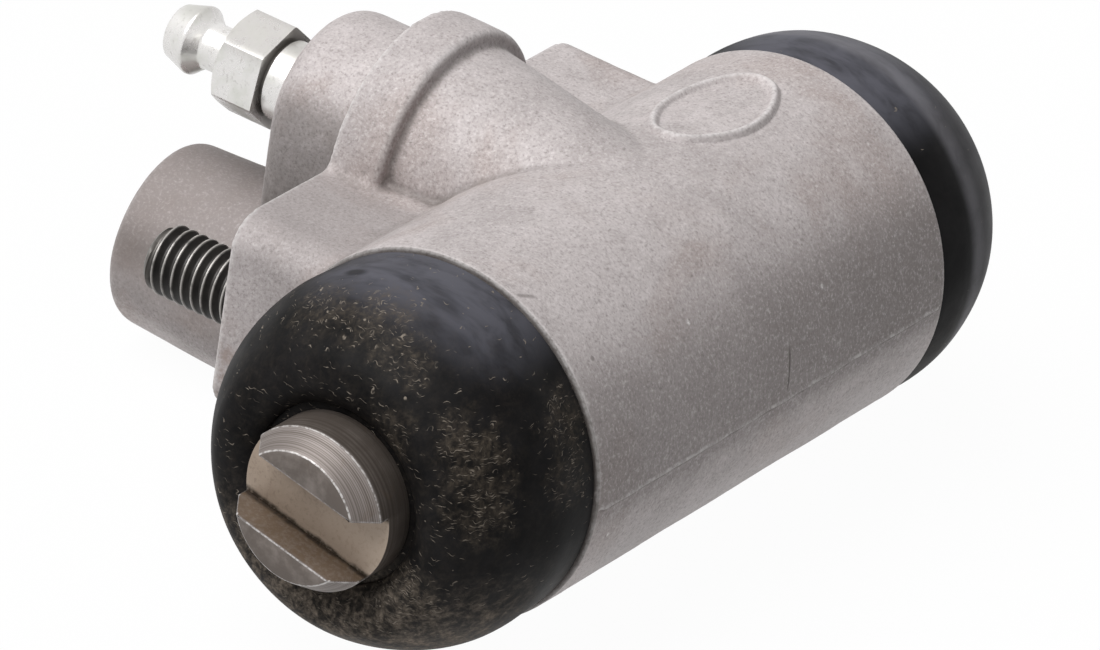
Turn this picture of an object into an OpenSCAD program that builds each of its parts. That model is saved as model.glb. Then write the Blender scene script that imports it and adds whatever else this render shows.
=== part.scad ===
// Drum brake wheel cylinder: a cast housing with two opposed pistons.
// Origin on the mounting face midway between the studs, +X along the bore,
// +Y into the back plate, +Z up towards the bleed screw. Millimetres.

/* [Barrel] */
// Outside diameter of the cast barrel
barrel_d = 31.6; // [30:0.1:36]
// Length of the cast barrel between its two shoulders
barrel_len = 49.3; // [46:0.1:58]
// Bore that the pistons and cups run in
bore_d = 19.05; // [17:0.01:20.5]
// Chamfer at the mouth of the bore
bore_chamfer = 0.6; // [0.2:0.1:1]
// Diameter of the turned nose at each end, inside the dust boot
nose_d = 26.4; // [25:0.1:28]
// Length of each nose past the barrel's shoulder
nose_len = 5; // [4:0.1:6.5]
// Width of the boot groove in each nose
groove_w = 2; // [1.4:0.1:2.6]
// Depth of the boot groove in each nose
groove_depth = 0.9; // [0.5:0.1:1.3]
// Height of the mould parting ridge along the barrel
parting_h = 0.12; // [0.05:0.01:0.3]
// Width of the mould parting ridge
parting_w = 0.5; // [0.2:0.1:1]

/* [Foot] */
// Distance from the bore axis to the mounting face
axis_to_face = 22.3; // [21.5:0.1:26]
// Setback of each end of the foot from the barrel's shoulder
foot_setback = 0.9; // [0.5:0.1:2]
// Height of the foot's top above the bore axis
foot_top = 9.7; // [9:0.1:10.4]
// Depth of the foot's underside below the bore axis
foot_bottom = 8; // [6:0.1:10]
// Corner radius of the foot, seen from behind
foot_corner_r = 3; // [1:0.1:5]
// Fillet where the foot runs into the barrel
foot_fillet = 2.4; // [1:0.1:4]

/* [Bleed side of the casting] */
// Height of the bleed screw axis above the bore axis
bleed_z = 8.7; // [8.3:0.1:9.2]
// Radius of the collar that arches over the foot
collar_r = 11; // [10.4:0.1:12.5]
// Thickness of the collar in front of the mounting face
collar_t = 4.8; // [4:0.1:6]
// Rounding of the collar's front edge
collar_round = 0.7; // [0.3:0.1:1.2]
// Fillet between the collar and the top of the foot
collar_fillet = 1.2; // [0.5:0.1:2]
// Radius of the neck where it leaves the collar
neck_r = 9.7; // [9:0.1:10.3]
// Radius of the neck where it runs out on the barrel
neck_end_r = 7.2; // [6.6:0.1:7.4]

/* [Boss and spigot behind the mounting face] */
// Radius of the locating boss
boss_r = 8.2; // [7.6:0.1:8.6]
// Length of the locating boss past the mounting face
boss_len = 8.8; // [7:0.1:10]
// Rounding of the boss's rear edge
boss_round = 2.4; // [0.5:0.1:3]
// Depth of the inlet axis below the bore axis
inlet_drop = 9.7; // [9:0.1:11]
// Diameter of the inlet spigot at its root
spigot_root_d = 17.4; // [16.4:0.1:18.4]
// Diameter of the inlet spigot at its end
spigot_end_d = 16; // [15:0.1:16.4]
// Length of the inlet spigot past the mounting face
spigot_len = 22; // [18:0.1:25]
// Radius of the inlet column where it runs out on the barrel
inlet_neck_r = 5.8; // [5:0.1:6]
// Rounding of the spigot's end
spigot_round = 0.8; // [0.3:0.1:1.5]
// Thread diameter of the inlet port
inlet_thread_d = 10; // [8:0.1:11]
// Depth of the inlet port
inlet_depth = 13; // [10:0.1:15]
// Diameter of the drilling from the inlet port into the bore
inlet_drill_d = 2.5; // [1.5:0.1:3]

/* [Cast oval] */
// Length of the raised oval rim on top of the barrel
oval_len = 15; // [12:0.1:16]
// Width of the raised oval rim
oval_w = 9; // [8:0.1:10]
// Radius of the oval's two ends
oval_end_r = 3; // [2.4:0.1:3.4]
// Width of the rim itself
oval_rim_w = 0.9; // [0.5:0.1:1.4]
// Height of the rim above the barrel
oval_rim_h = 0.35; // [0.1:0.05:0.8]
// Place of the oval along the barrel
oval_x = 12.2; // [10:0.1:14]
// Place of the oval towards the foot
oval_y = 1.2; // [0:0.1:2]

/* [Studs] */
// Thread diameter of the two studs
stud_d = 6; // [5:0.1:8]
// Pitch of the studs' thread
stud_pitch = 1; // [0.7:0.05:1.5]
// Distance between the two studs
stud_spacing = 36.4; // [34:0.1:38]
// Length of each stud past the mounting face
stud_proud = 10; // [7:0.1:16]
// Length of each stud inside the foot
stud_engage = 8; // [6:0.1:9]
// How much wider than the stud its hole is countersunk at the mounting face
stud_sink = 0.2; // [0.1:0.05:0.6]
// Chamfer on both ends of each stud
stud_chamfer = 0.6; // [0.2:0.1:1]

/* [Bleed screw] */
// Thread diameter of the bleed screw
bleed_thread_d = 7; // [6:0.1:8]
// Width of the hexagon across its flats
bleed_hex_af = 8; // [7:0.1:10]
// Length of the hexagon
bleed_hex_len = 4.4; // [3:0.1:6]
// Gap between the boss and the hexagon when the screw is tight
bleed_gap = 3.7; // [2:0.1:4.5]
// Diameter of the nipple's bulb
bleed_bulb_d = 6; // [5:0.1:7]
// Length of the nipple's bulb
bleed_bulb_len = 3.2; // [2.5:0.1:4.5]
// Diameter at the bulb's outer end
bleed_bulb_tip_d = 4.6; // [3.6:0.1:5]
// Diameter of the neck between hexagon and bulb
bleed_neck_d = 4; // [3.4:0.1:4.6]
// Length of that neck
bleed_neck_len = 3.1; // [2:0.1:4]
// Turn of the hexagon about its axis when the screw is tight
bleed_hex_turn = 41; // [0:1:60]
// Drilling up the middle of the bleed screw
bleed_drill_d = 1.8; // [1.4:0.1:2.2]
// Cross drilling that feeds it, above the cone
bleed_cross_d = 1.2; // [0.8:0.1:1.3]
// Bevel on the outer corners of the hexagon
bleed_hex_bevel = 0.8; // [0.3:0.1:1.2]
// Depth of the threaded part of the bleed port
bleed_thread_depth = 12; // [9:0.1:14]
// Length of the conical seat at the bottom of the bleed port
bleed_seat_len = 2.4; // [1.8:0.1:3]
// Diameter of the drilling from the bleed seat into the bore
bleed_passage_d = 2.4; // [1.6:0.1:2.8]
// Length of the plain point between the cone and the thread
bleed_point_len = 2.4; // [2:0.1:3]
// Depth of that point below the thread's crest
bleed_relief = 0.5; // [0.3:0.1:0.8]

/* [Pistons] */
// Distance from the mouth of the bore to each piston's inner face at rest
piston_inset = 17.05; // [16:0.05:18]
// Length of the piston's full-diameter head
piston_head_len = 15; // [12:0.1:16]
// Diameter of the piston's stem, which shows outside the boot
stem_d = 13.9; // [12.5:0.1:14.5]
// Distance from the barrel's shoulder to the end of the right stem at rest
stem_reach = 17.95; // [17.15:0.05:21]
// How much further out the left piston stands at rest
left_out = 1.2; // [0:0.1:2]
// Chamfer on the edges of pistons and cups
edge_break = 0.5; // [0.2:0.1:0.8]
// Length of the cone on the stem's end
stem_cone_len = 2.2; // [1:0.1:2.6]
// Diameter of the flat that the cone leaves
stem_flat_d = 11.3; // [9:0.1:12]
// Width of the brake shoe slot
slot_w = 6; // [4.6:0.1:7]
// Depth of the brake shoe slot
slot_depth = 3.2; // [2.6:0.1:4]
// Turn of the slot about the bore axis
slot_turn = 12; // [0:1:90]

/* [Cup seals] */
// Thickness of a cup's base
cup_base_t = 2.6; // [2:0.1:3.5]
// Length of a cup with its lip
cup_len = 6.2; // [5:0.1:7]
// Thickness of the cup's lip at its tip
cup_lip_t = 1; // [0.6:0.1:1.5]
// Thickness of the cup's lip at its root
cup_root_t = 2.2; // [1.6:0.1:2.8]
// Thickness of the sheet of a cup expander
expander_t = 0.6; // [0.4:0.1:0.9]

/* [Return spring] */
// Wire diameter of the return spring
wire_d = 1; // [0.7:0.1:1.2]
// Mean diameter of the coil
coil_d = 9; // [7:0.1:10]
// Number of turns
coil_turns = 6; // [4:1:8]

/* [Dust boots] */
// Outside diameter of a boot at the outer end of its band
boot_d = 31.4; // [30.8:0.1:33]
// How far the band narrows towards the barrel, on the radius
boot_rim_in = 0.2; // [0.05:0.05:0.5]
// Length of the boot's band
boot_band = 3; // [2.4:0.1:4]
// Radius of the boot's dome in section
boot_dome_r = 13.9; // [13:0.1:15]
// Angle at which the dome turns into the end face
boot_dome_turn = 42; // [38:1:46]
// Radius in section of the turn into the end face
boot_face_r = 3; // [2.6:0.1:3.6]
// Wall thickness of the dome
boot_wall = 1.6; // [1.2:0.1:2.2]
// Width of the lip that grips the stem
boot_lip_w = 2; // [1.4:0.1:2.4]
// Depth of the recess round the stem in the end face
boot_lip_inset = 1.3; // [0.9:0.1:1.7]
// Width of that recess
boot_recess_w = 0.7; // [0.6:0.05:1]
// Depth of the stem groove that the lip sits in
boot_lip_bite = 0.8; // [0.4:0.1:1.2]

/* [Fits] */
// Radial running clearance of a piston in the bore
run_clear = 0.03; // [0.02:0.01:0.06]
// Gap between a rubber piece and the metal that it seats on
rubber_gap = 0.05; // [0.02:0.01:0.15]
// Radial gap left for a thread between screw and hole
thread_gap = 0.05; // [0.02:0.01:0.15]

/* [Hidden] */
$fn = 96;
over = 0.5;
// Rise of the hexagon's bevel for each unit of its width
bevel_lean = 0.6;
// How much smaller a thread's pitch diameter is, for each unit of its pitch
pitch_share = 0.65;
// How much larger a fillet's arc is than the fillet
fillet_runout = 0.05;

barrel_r = barrel_d / 2;
bore_r = bore_d / 2;
nose_r = nose_d / 2;
half_len = barrel_len / 2;
nose_end = half_len + nose_len;
foot_w = barrel_len - 2 * foot_setback;
stem_r = stem_d / 2;
boot_r = boot_d / 2;
// The foot holds the studs at their thread's pitch diameter
stud_hold_d = stud_d - pitch_share * stud_pitch;

// Places along the bleed axis, measured from the mounting face
bleed_hex_start = boss_len + bleed_gap;
bleed_hex_end = bleed_hex_start + bleed_hex_len;
bleed_bulb_start = bleed_hex_end + bleed_neck_len;
bleed_tip = bleed_bulb_start + bleed_bulb_len;
bleed_seat_y = boss_len - bleed_thread_depth;

// How far a side's moving pieces stand out from where the right side has them
function out(side) = side < 0 ? left_out : 0;

// Places along the bore axis, on the right side
piston_x = nose_end - piston_inset;
stem_end_x = half_len + stem_reach;
cup_base_x = piston_x - rubber_gap;
cup_floor_x = cup_base_x - cup_base_t;
cup_tip_x = cup_base_x - cup_len;
spring_end_x = cup_floor_x - rubber_gap - expander_t;
boot_band_end = half_len + boot_band;
// Centres of the two arcs of the boot's section, as [radius, place along the bore]
boot_dome_c = [boot_r - boot_dome_r, boot_band_end];
boot_face_c = boot_dome_c
    + (boot_dome_r - boot_face_r) * [cos(boot_dome_turn), sin(boot_dome_turn)];
lip_out_x = boot_face_c[1] + boot_face_r - boot_lip_inset;
lip_in_x = lip_out_x - boot_lip_w;
lip_r = stem_r - boot_lip_bite;

// Lays a shape that stands on local Z along the bore, +X
module along_bore() {
    translate([0, -axis_to_face, 0]) rotate([0, 90, 0]) children();
}

// Lays a shape that stands on local Z along +Y, at height z, starting at y
module into_plate(x, y, z) {
    translate([x, y, z]) rotate([-90, 0, 0]) children();
}

// The right side as drawn, and the left side as its mirror image
module on_side(side) {
    if (side > 0) children();
    else mirror([1, 0, 0]) children();
}

// The same for the pieces that move with a piston
module with_piston(side) {
    on_side(side) translate([out(side), 0, 0]) children();
}

// Rounded rectangle made of straight bands and true arcs
module round_rect(w, h, r) {
    square([w - 2 * r, h], center = true);
    square([w, h - 2 * r], center = true);
    for (sx = [-1, 1], sy = [-1, 1])
        translate([sx * (w / 2 - r), sy * (h / 2 - r)]) circle(r);
}

// Fillet between a circle at the origin and the line y = h, on the side of +x.
// Its arc is a little larger than the fillet, so that both its edges run out at a small angle.
module circle_line_fillet(r, h, fillet) {
    centre_x = sqrt(pow(r + fillet, 2) - pow(h + fillet, 2));
    touch = r / (r + fillet);
    difference() {
        polygon([
            [0, h], [centre_x, h], [centre_x, h + fillet],
            [centre_x * touch, (h + fillet) * touch],
        ]);
        translate([centre_x, h + fillet]) circle(fillet + fillet_runout);
    }
}

// Oval of four arcs that run into each other, length along x
module oval(len, w, end_r) {
    c = len / 2 - end_r;
    // Side arcs of radius side_r, centred side_r - w / 2 beyond the middle
    b = w / 2;
    side_r = (c * c + b * b - end_r * end_r) / (2 * (b - end_r));
    d = side_r - b;
    touch_x = c * side_r / (side_r - end_r);
    for (s = [-1, 1]) translate([s * c, 0]) circle(end_r);
    intersection() {
        translate([0, d]) circle(side_r, $fn = 180);
        translate([0, -d]) circle(side_r, $fn = 180);
        square([2 * touch_x, w], center = true);
    }
}

// Cast barrel with a grooved nose at each end, turned about the bore
module barrel_blank() {
    groove_r = nose_r - groove_depth;
    half = [
        [half_len, barrel_r],
        [half_len, groove_r],
        [half_len + groove_w, groove_r],
        [half_len + groove_w, nose_r],
        [nose_end, nose_r],
    ];
    along_bore() rotate_extrude() polygon(concat(
        [for (i = [len(half) - 1 : -1 : 0]) [half[i][1], -half[i][0]]],
        [for (p = half) [p[1], p[0]]],
        [[0, nose_end], [0, -nose_end]]
    ));
}

// Ridge left by the two halves of the mould, front and back of the barrel
module parting_ridge() {
    translate([0, -axis_to_face, 0])
        cube([barrel_len, 2 * (barrel_r + parting_h), parting_w], center = true);
}

// Foot that carries the studs, with fillets up to the barrel
module foot() {
    translate([0, -axis_to_face, 0]) {
        translate([0, 0, (foot_top - foot_bottom) / 2]) rotate([-90, 0, 0])
            linear_extrude(axis_to_face) round_rect(foot_w, foot_top + foot_bottom, foot_corner_r);
        foot_fillet_run(foot_top);
        mirror([0, 0, 1]) foot_fillet_run(foot_bottom);
    }
}

// Fillet along one side of the foot, a height above the bore axis
module foot_fillet_run(height) {
    translate([-foot_w / 2 + foot_corner_r, 0, 0]) rotate([90, 0, 90])
        linear_extrude(foot_w - 2 * foot_corner_r)
            circle_line_fillet(barrel_r, height, foot_fillet);
}

// Collar, neck and upper boss, all turned about the bleed axis
module bleed_column() {
    front = -collar_t;
    into_plate(0, 0, bleed_z) rotate_extrude() difference() {
        union() {
            polygon([
                [0, -axis_to_face], [neck_end_r, -axis_to_face],
                [neck_r, front], [0, front],
            ]);
            translate([0, front]) square([collar_r, collar_t]);
            square([boss_r, boss_len]);
        }
        edge_cut(collar_r, front, collar_round, 1, -1);
        edge_cut(boss_r, boss_len, boss_round, 1, 1);
    }
    // Fillets where the collar's sides stand on the foot
    for (s = [-1, 1]) mirror([s < 0 ? 1 : 0, 0, 0])
        into_plate(0, -collar_t + collar_round, bleed_z) mirror([0, 1, 0])
            linear_extrude(collar_t - collar_round)
                circle_line_fillet(collar_r, foot_top - bleed_z, collar_fillet);
}

// What a rounded edge takes off the corner at [x, y], pointing away by sx and sy
module edge_cut(x, y, r, sx, sy) {
    translate([x, y]) difference() {
        translate([sx > 0 ? -r : -over, sy > 0 ? -r : -over]) square(r + over);
        translate([-sx * r, -sy * r]) circle(r);
    }
}

// Flat-sided part of the boss between the bleed axis and the inlet axis
module boss_web() {
    web_h = bleed_z + inlet_drop;
    translate([-boss_r, 0, -inlet_drop]) cube([2 * boss_r, boss_len - boss_round, web_h]);
    translate([-boss_r + boss_round, 0, -inlet_drop])
        cube([2 * (boss_r - boss_round), boss_len, web_h]);
    for (s = [-1, 1])
        translate([s * (boss_r - boss_round), boss_len - boss_round, -inlet_drop])
            cylinder(r = boss_round, h = web_h);
}

// Spigot that the inlet pipe screws into, drafted towards its end
module inlet_spigot() {
    into_plate(0, 0, -inlet_drop) rotate_extrude() difference() {
        polygon([
            [0, -axis_to_face], [inlet_neck_r, -axis_to_face], [spigot_root_d / 2, 0],
            [spigot_root_d / 2, boss_len], [spigot_end_d / 2, spigot_len], [0, spigot_len],
        ]);
        edge_cut(spigot_end_d / 2, spigot_len, spigot_round, 1, 1);
    }
}

// Raised oval rim on top of the barrel
module oval_rim() {
    translate([0, -axis_to_face, 0]) intersection() {
        translate([oval_x, oval_y, 0]) linear_extrude(barrel_d) difference() {
            oval(oval_len, oval_w, oval_end_r);
            oval(oval_len - 2 * oval_rim_w, oval_w - 2 * oval_rim_w, oval_end_r - oval_rim_w);
        }
        rotate([0, 90, 0]) cylinder(r = barrel_r + oval_rim_h, h = barrel_len, center = true);
    }
}

// Bore through the barrel, chamfered at both mouths
module bore_cut() {
    along_bore() rotate_extrude() polygon([
        [0, -nose_end - over], [bore_r + bore_chamfer + over, -nose_end - over],
        [bore_r, -nose_end + bore_chamfer], [bore_r, nose_end - bore_chamfer],
        [bore_r + bore_chamfer + over, nose_end + over], [0, nose_end + over],
    ]);
}

// Threaded blind hole for one stud, countersunk at the mounting face
module stud_hole(x) {
    hold_r = stud_hold_d / 2 + thread_gap;
    mouth_r = (stud_d + stud_sink) / 2;
    into_plate(x, 0, 0) rotate_extrude() polygon([
        [0, -stud_engage - over], [hold_r, -stud_engage - over],
        [hold_r, hold_r - mouth_r], [mouth_r + over, over], [0, over],
    ]);
}

// Bleed port: thread, conical seat and the drilling into the top of the bore
module bleed_port() {
    thread_r = bleed_thread_d / 2 + thread_gap;
    into_plate(0, 0, bleed_z) rotate_extrude() polygon([
        [0, -axis_to_face], [bleed_passage_d / 2, -axis_to_face],
        [bleed_passage_d / 2, bleed_seat_y - bleed_seat_len],
        [thread_r, bleed_seat_y], [thread_r, boss_len + over], [0, boss_len + over],
    ]);
}

// Inlet port: pipe thread, drill point and a slanting drilling into the bore
module inlet_port() {
    thread_r = inlet_thread_d / 2;
    floor_y = spigot_len - inlet_depth;
    into_plate(0, 0, -inlet_drop) rotate_extrude() polygon([
        [0, floor_y - thread_r / 2], [thread_r, floor_y],
        [thread_r, spigot_len + over], [0, spigot_len + over],
    ]);
    drop = inlet_drop;
    run = axis_to_face + floor_y;
    translate([0, -axis_to_face, 0]) rotate([-90 - atan2(drop, run), 0, 0])
        cylinder(d = inlet_drill_d, h = norm([drop, run]));
}

// Cast housing
module cylinder_housing() {
    color("#b3aca6") difference() {
        union() {
            barrel_blank();
            parting_ridge();
            foot();
            bleed_column();
            boss_web();
            inlet_spigot();
            oval_rim();
        }
        bore_cut();
        for (s = [-1, 1]) stud_hole(s * stud_spacing / 2);
        bleed_port();
        inlet_port();
    }
}

// Piston with its head in the bore and a slotted stem
module piston(side) {
    head_r = bore_r - run_clear;
    head_end = piston_x + piston_head_len;
    color("#a09a94") with_piston(side) difference() {
        along_bore() rotate_extrude() polygon([
            [0, piston_x], [head_r - edge_break, piston_x], [head_r, piston_x + edge_break],
            [head_r, head_end - edge_break], [head_r - edge_break, head_end], [stem_r, head_end],
            [stem_r, lip_in_x], [lip_r, lip_in_x], [lip_r, lip_out_x], [stem_r, lip_out_x],
            [stem_r, stem_end_x - stem_cone_len], [stem_flat_d / 2, stem_end_x], [0, stem_end_x],
        ]);
        translate([stem_end_x - slot_depth, -axis_to_face, 0]) rotate([slot_turn, 0, 0])
            translate([0, -stem_d, -slot_w / 2]) cube([slot_depth + over, 2 * stem_d, slot_w]);
    }
}

// Rubber cup with its lip towards the middle of the bore
module cup_seal(side) {
    cup_r = bore_r - run_clear;
    color("#26262a") with_piston(side) along_bore() rotate_extrude() polygon([
        [0, cup_base_x], [cup_r - edge_break, cup_base_x], [cup_r, cup_base_x - edge_break],
        [cup_r, cup_tip_x], [cup_r - cup_lip_t, cup_tip_x],
        [cup_r - cup_root_t, cup_floor_x], [0, cup_floor_x],
    ]);
}

// Dished steel expander that spreads the cup's lip and carries the spring's end
module cup_expander(side) {
    rim_r = bore_r - run_clear - cup_root_t - rubber_gap;
    floor_x = cup_floor_x - rubber_gap;
    skirt = cup_len - cup_base_t - 2 * rubber_gap;
    lean = (cup_root_t - cup_lip_t) / (cup_len - cup_base_t);
    color("#8d9096") with_piston(side) along_bore() rotate_extrude() polygon([
        [0, floor_x], [rim_r, floor_x], [rim_r + lean * skirt, floor_x - skirt],
        [rim_r + lean * skirt - expander_t, floor_x - skirt],
        [rim_r - expander_t, floor_x - expander_t], [0, floor_x - expander_t],
    ]);
}

// Coil spring between the two expanders, its end turns closed
module return_spring() {
    sides = 8;
    per_turn = 20;
    rings = coil_turns * per_turn;
    wire_r = wire_d / 2;
    left_end = -spring_end_x - left_out + rubber_gap + wire_r;
    right_end = spring_end_x - rubber_gap - wire_r;
    // Share of the travel that a closed end turn takes up
    closed = 0.02;
    // Share of the travel reached at ring i, flat over the first and last turn
    function travel(i) = let (t = i / per_turn)
        t < 1 ? closed * t :
        t > coil_turns - 1 ? 1 - closed * (coil_turns - t) :
        closed + (1 - 2 * closed) * (t - 1) / (coil_turns - 2);
    function ring_point(i, k) = let (
        turn = 360 * i / per_turn, a = 360 * k / sides,
        r = coil_d / 2 + wire_r * cos(a)
    ) [left_end + (right_end - left_end) * travel(i) + wire_r * sin(a),
       r * cos(turn) - axis_to_face, r * sin(turn)];
    points = [for (i = [0 : rings], k = [0 : sides - 1]) ring_point(i, k)];
    tube = [for (i = [0 : rings - 1], k = [0 : sides - 1]) let (n = (k + 1) % sides)
        [i * sides + k, i * sides + n, (i + 1) * sides + n, (i + 1) * sides + k]];
    caps = [[for (k = [sides - 1 : -1 : 0]) k], [for (k = [0 : sides - 1]) rings * sides + k]];
    color("#70757c") polyhedron(points, concat(tube, caps), convexity = 8);
}

// Points along an arc in section, from one angle to another about a centre
function arc_points(centre, r, from, to, steps) =
    [for (i = [0 : steps]) let (a = from + (to - from) * i / steps) centre + r * [cos(a), sin(a)]];

// Rubber boot from the groove in the nose to the groove in the stem
module dust_boot(side) {
    steps = 10;
    bead_r = nose_r - groove_depth + rubber_gap;
    seat_r = nose_r + rubber_gap;
    start = half_len + rubber_gap;
    bead_end = half_len + groove_w - rubber_gap;
    shift = [0, out(side)];
    dome_c = boot_dome_c + shift;
    face_c = boot_face_c + shift;
    grip_r = lip_r + rubber_gap;
    lip_in = lip_in_x + out(side) + rubber_gap;
    lip_out = lip_out_x + out(side) - rubber_gap;
    recess_r = stem_r + boot_recess_w;
    rim_turn = 90 + asin((face_c[0] - recess_r) / boot_face_r);
    // The inside leaves the dome for the lip at this angle
    lip_turn = (boot_dome_turn + 90) / 2;
    color("#1d1e22") on_side(side) along_bore() rotate_extrude() polygon(concat(
        [[bead_r, start], [boot_r - boot_rim_in, start]],
        arc_points(dome_c, boot_dome_r, 0, boot_dome_turn, steps),
        arc_points(face_c, boot_face_r, boot_dome_turn + 5, rim_turn, steps),
        [[recess_r, lip_out], [grip_r, lip_out], [grip_r, lip_in]],
        arc_points(face_c, boot_face_r - boot_wall, lip_turn, boot_dome_turn + 5, steps / 5),
        arc_points(dome_c, boot_dome_r - boot_wall, boot_dome_turn, 0, steps),
        [[seat_r, dome_c[1]], [seat_r, bead_end], [bead_r, bead_end]]
    ));
}

// Bleed screw: cone tip, thread, hexagon and hose nipple, drilled through
module bleed_screw() {
    thread_r = bleed_thread_d / 2;
    point_r = thread_r - bleed_relief;
    hex_r = bleed_hex_af / sqrt(3);
    bulb_r = bleed_bulb_d / 2;
    nipple_r = bleed_neck_d / 2;
    // Cone parallel to the seat, a thread gap inside it
    seat_lean = (thread_r + thread_gap - bleed_passage_d / 2) / bleed_seat_len;
    cone_len = (point_r - bleed_drill_d / 2) / seat_lean;
    cone_end = bleed_seat_y - bleed_relief / seat_lean;
    point_end = bleed_seat_y + bleed_point_len;
    cross_y = cone_end + bleed_cross_d;
    drill_y = cross_y - bleed_cross_d;
    color("#cfd0d2") difference() {
        into_plate(0, 0, bleed_z) {
            rotate_extrude() polygon([
                [0, cone_end - cone_len], [bleed_drill_d / 2, cone_end - cone_len],
                [point_r, cone_end], [point_r, point_end], [thread_r, point_end + bleed_relief],
                [thread_r, bleed_hex_start + over], [nipple_r, bleed_hex_start + over],
                [nipple_r, bleed_bulb_start], [bulb_r, bleed_bulb_start + bleed_bulb_len / 4],
                [bulb_r, bleed_bulb_start + bleed_bulb_len / 2],
                [bleed_bulb_tip_d / 2, bleed_tip], [0, bleed_tip],
            ]);
            intersection() {
                translate([0, 0, bleed_hex_start]) rotate(bleed_hex_turn)
                    cylinder(r = hex_r, h = bleed_hex_len, $fn = 6);
                rotate_extrude() polygon([
                    [0, bleed_hex_start - over], [hex_r + over, bleed_hex_start - over],
                    [hex_r + over, bleed_hex_end - (bleed_hex_bevel + over) * bevel_lean],
                    [hex_r - bleed_hex_bevel - over, bleed_hex_end + over * bevel_lean],
                    [0, bleed_hex_end + over * bevel_lean],
                ]);
            }
        }
        into_plate(0, drill_y, bleed_z) cylinder(d = bleed_drill_d, h = bleed_tip - drill_y + over);
        translate([-thread_r, cross_y, bleed_z]) rotate([0, 90, 0])
            cylinder(d = bleed_cross_d, h = 2 * thread_r);
    }
}

// Stud screwed into the foot
module stud(side) {
    r = stud_d / 2;
    hold_r = stud_hold_d / 2;
    color("#2c2b2a") into_plate(side * stud_spacing / 2, 0, 0) rotate_extrude() polygon([
        [0, -stud_engage], [hold_r - stud_chamfer, -stud_engage],
        [hold_r, -stud_engage + stud_chamfer], [hold_r, thread_gap], [r, thread_gap],
        [r, stud_proud - stud_chamfer], [r - stud_chamfer, stud_proud], [0, stud_proud],
    ]);
}

cylinder_housing();
piston(-1);  // left_piston
piston(1);  // right_piston
cup_seal(-1);  // left_cup_seal
cup_seal(1);  // right_cup_seal
cup_expander(-1);  // left_cup_expander
cup_expander(1);  // right_cup_expander
return_spring();
dust_boot(-1);  // left_dust_boot
dust_boot(1);  // right_dust_boot
bleed_screw();
stud(-1);  // left_stud
stud(1);  // right_stud
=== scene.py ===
"""Looks of a drum brake wheel cylinder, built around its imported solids.

Metres throughout: +X along the bore, +Y into the back plate, +Z up towards the bleed screw.
"""

from __future__ import annotations

import functools
import logging
import math
from dataclasses import dataclass
from enum import Enum
from typing import Sequence, Union

import bmesh
import bpy
import numpy as np
from mathutils import Matrix, Vector, noise

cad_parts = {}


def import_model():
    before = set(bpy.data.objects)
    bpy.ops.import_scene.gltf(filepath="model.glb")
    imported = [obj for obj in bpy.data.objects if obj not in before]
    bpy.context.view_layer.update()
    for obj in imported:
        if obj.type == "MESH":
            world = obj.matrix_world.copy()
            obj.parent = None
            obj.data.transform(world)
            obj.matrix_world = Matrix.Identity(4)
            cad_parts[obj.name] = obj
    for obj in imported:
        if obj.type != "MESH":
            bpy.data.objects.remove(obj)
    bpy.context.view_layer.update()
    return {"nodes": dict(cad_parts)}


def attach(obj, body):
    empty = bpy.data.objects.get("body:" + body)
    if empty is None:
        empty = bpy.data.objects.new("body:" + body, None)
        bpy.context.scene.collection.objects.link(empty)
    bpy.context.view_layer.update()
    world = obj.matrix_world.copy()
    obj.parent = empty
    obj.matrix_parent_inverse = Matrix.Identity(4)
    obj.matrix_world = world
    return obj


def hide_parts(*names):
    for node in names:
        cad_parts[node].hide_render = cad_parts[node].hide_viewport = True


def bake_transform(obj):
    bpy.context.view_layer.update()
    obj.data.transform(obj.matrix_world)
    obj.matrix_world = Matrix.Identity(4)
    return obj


LOG = logging.getLogger("wheel_cylinder")
MM = 0.001
BORE_AXIS_Y = -22.3 * MM
BORE_CENTRE = Vector((0.0, BORE_AXIS_Y, 0.0))
STUD_X = 18.2 * MM
BLEED_Z = 8.7 * MM
INLET_Z = -9.7 * MM
SHOULDER = 24.65 * MM
MERGE = 1e-7

Colour = tuple[float, float, float]
Point2 = tuple[float, float]
Socket = bpy.types.NodeSocket
Value = Union[float, Socket]
Tone = Union[Colour, Socket]
Finish = bpy.types.Material
Piece = bpy.types.Object
BMesh = bmesh.types.BMesh
BMVert = bmesh.types.BMVert


class Side(Enum):
    """The two ends of the barrel, with the sign of X on each."""

    LEFT = -1
    RIGHT = 1

    @property
    def label(self) -> str:
        """Word that starts the names of this side's pieces."""
        return self.name.lower()

    @property
    def out(self) -> float:
        """How much further out this side's moving pieces stand at rest."""
        return 1.2 * MM if self is Side.LEFT else 0.0

    def flip(self, section: Sequence[Point2]) -> list[Point2]:
        """A section that is drawn for the right side, as it lies on this side."""
        return [(r, self.value * s) for r, s in section]


class Axis(Enum):
    """Axes that turned pieces are spun about."""

    BORE = (1.0, 0.0, 0.0)
    PLATE = (0.0, 1.0, 0.0)

    @property
    def vector(self) -> Vector:
        """Direction of the axis."""
        return Vector(self.value)


@dataclass(frozen=True)
class Stem:
    """Sizes of a piston's slotted stem, for its shape and its finish."""

    end: float = 42.6 * MM
    radius: float = 6.95 * MM
    cone: float = 2.2 * MM
    flat_r: float = 5.65 * MM
    slot_half: float = 3.0 * MM
    slot_depth: float = 3.2 * MM
    slot_turn: float = math.radians(12.0)


# Mesh helpers


def arc(centre: Point2, radius: float, start: float, end: float, steps: int) -> list[Point2]:
    """Points along an arc of a section.

    Args:
        centre: Centre of the arc as (radius, place).
        radius: Radius of the arc.
        start: First angle in degrees, 0 pointing away from the axis.
        end: Last angle in degrees.
        steps: Number of segments.

    Returns:
        Points as (radius, place).
    """
    angles = [math.radians(start + (end - start) * i / steps) for i in range(steps + 1)]
    return [(centre[0] + radius * math.cos(a), centre[1] + radius * math.sin(a)) for a in angles]


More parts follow.
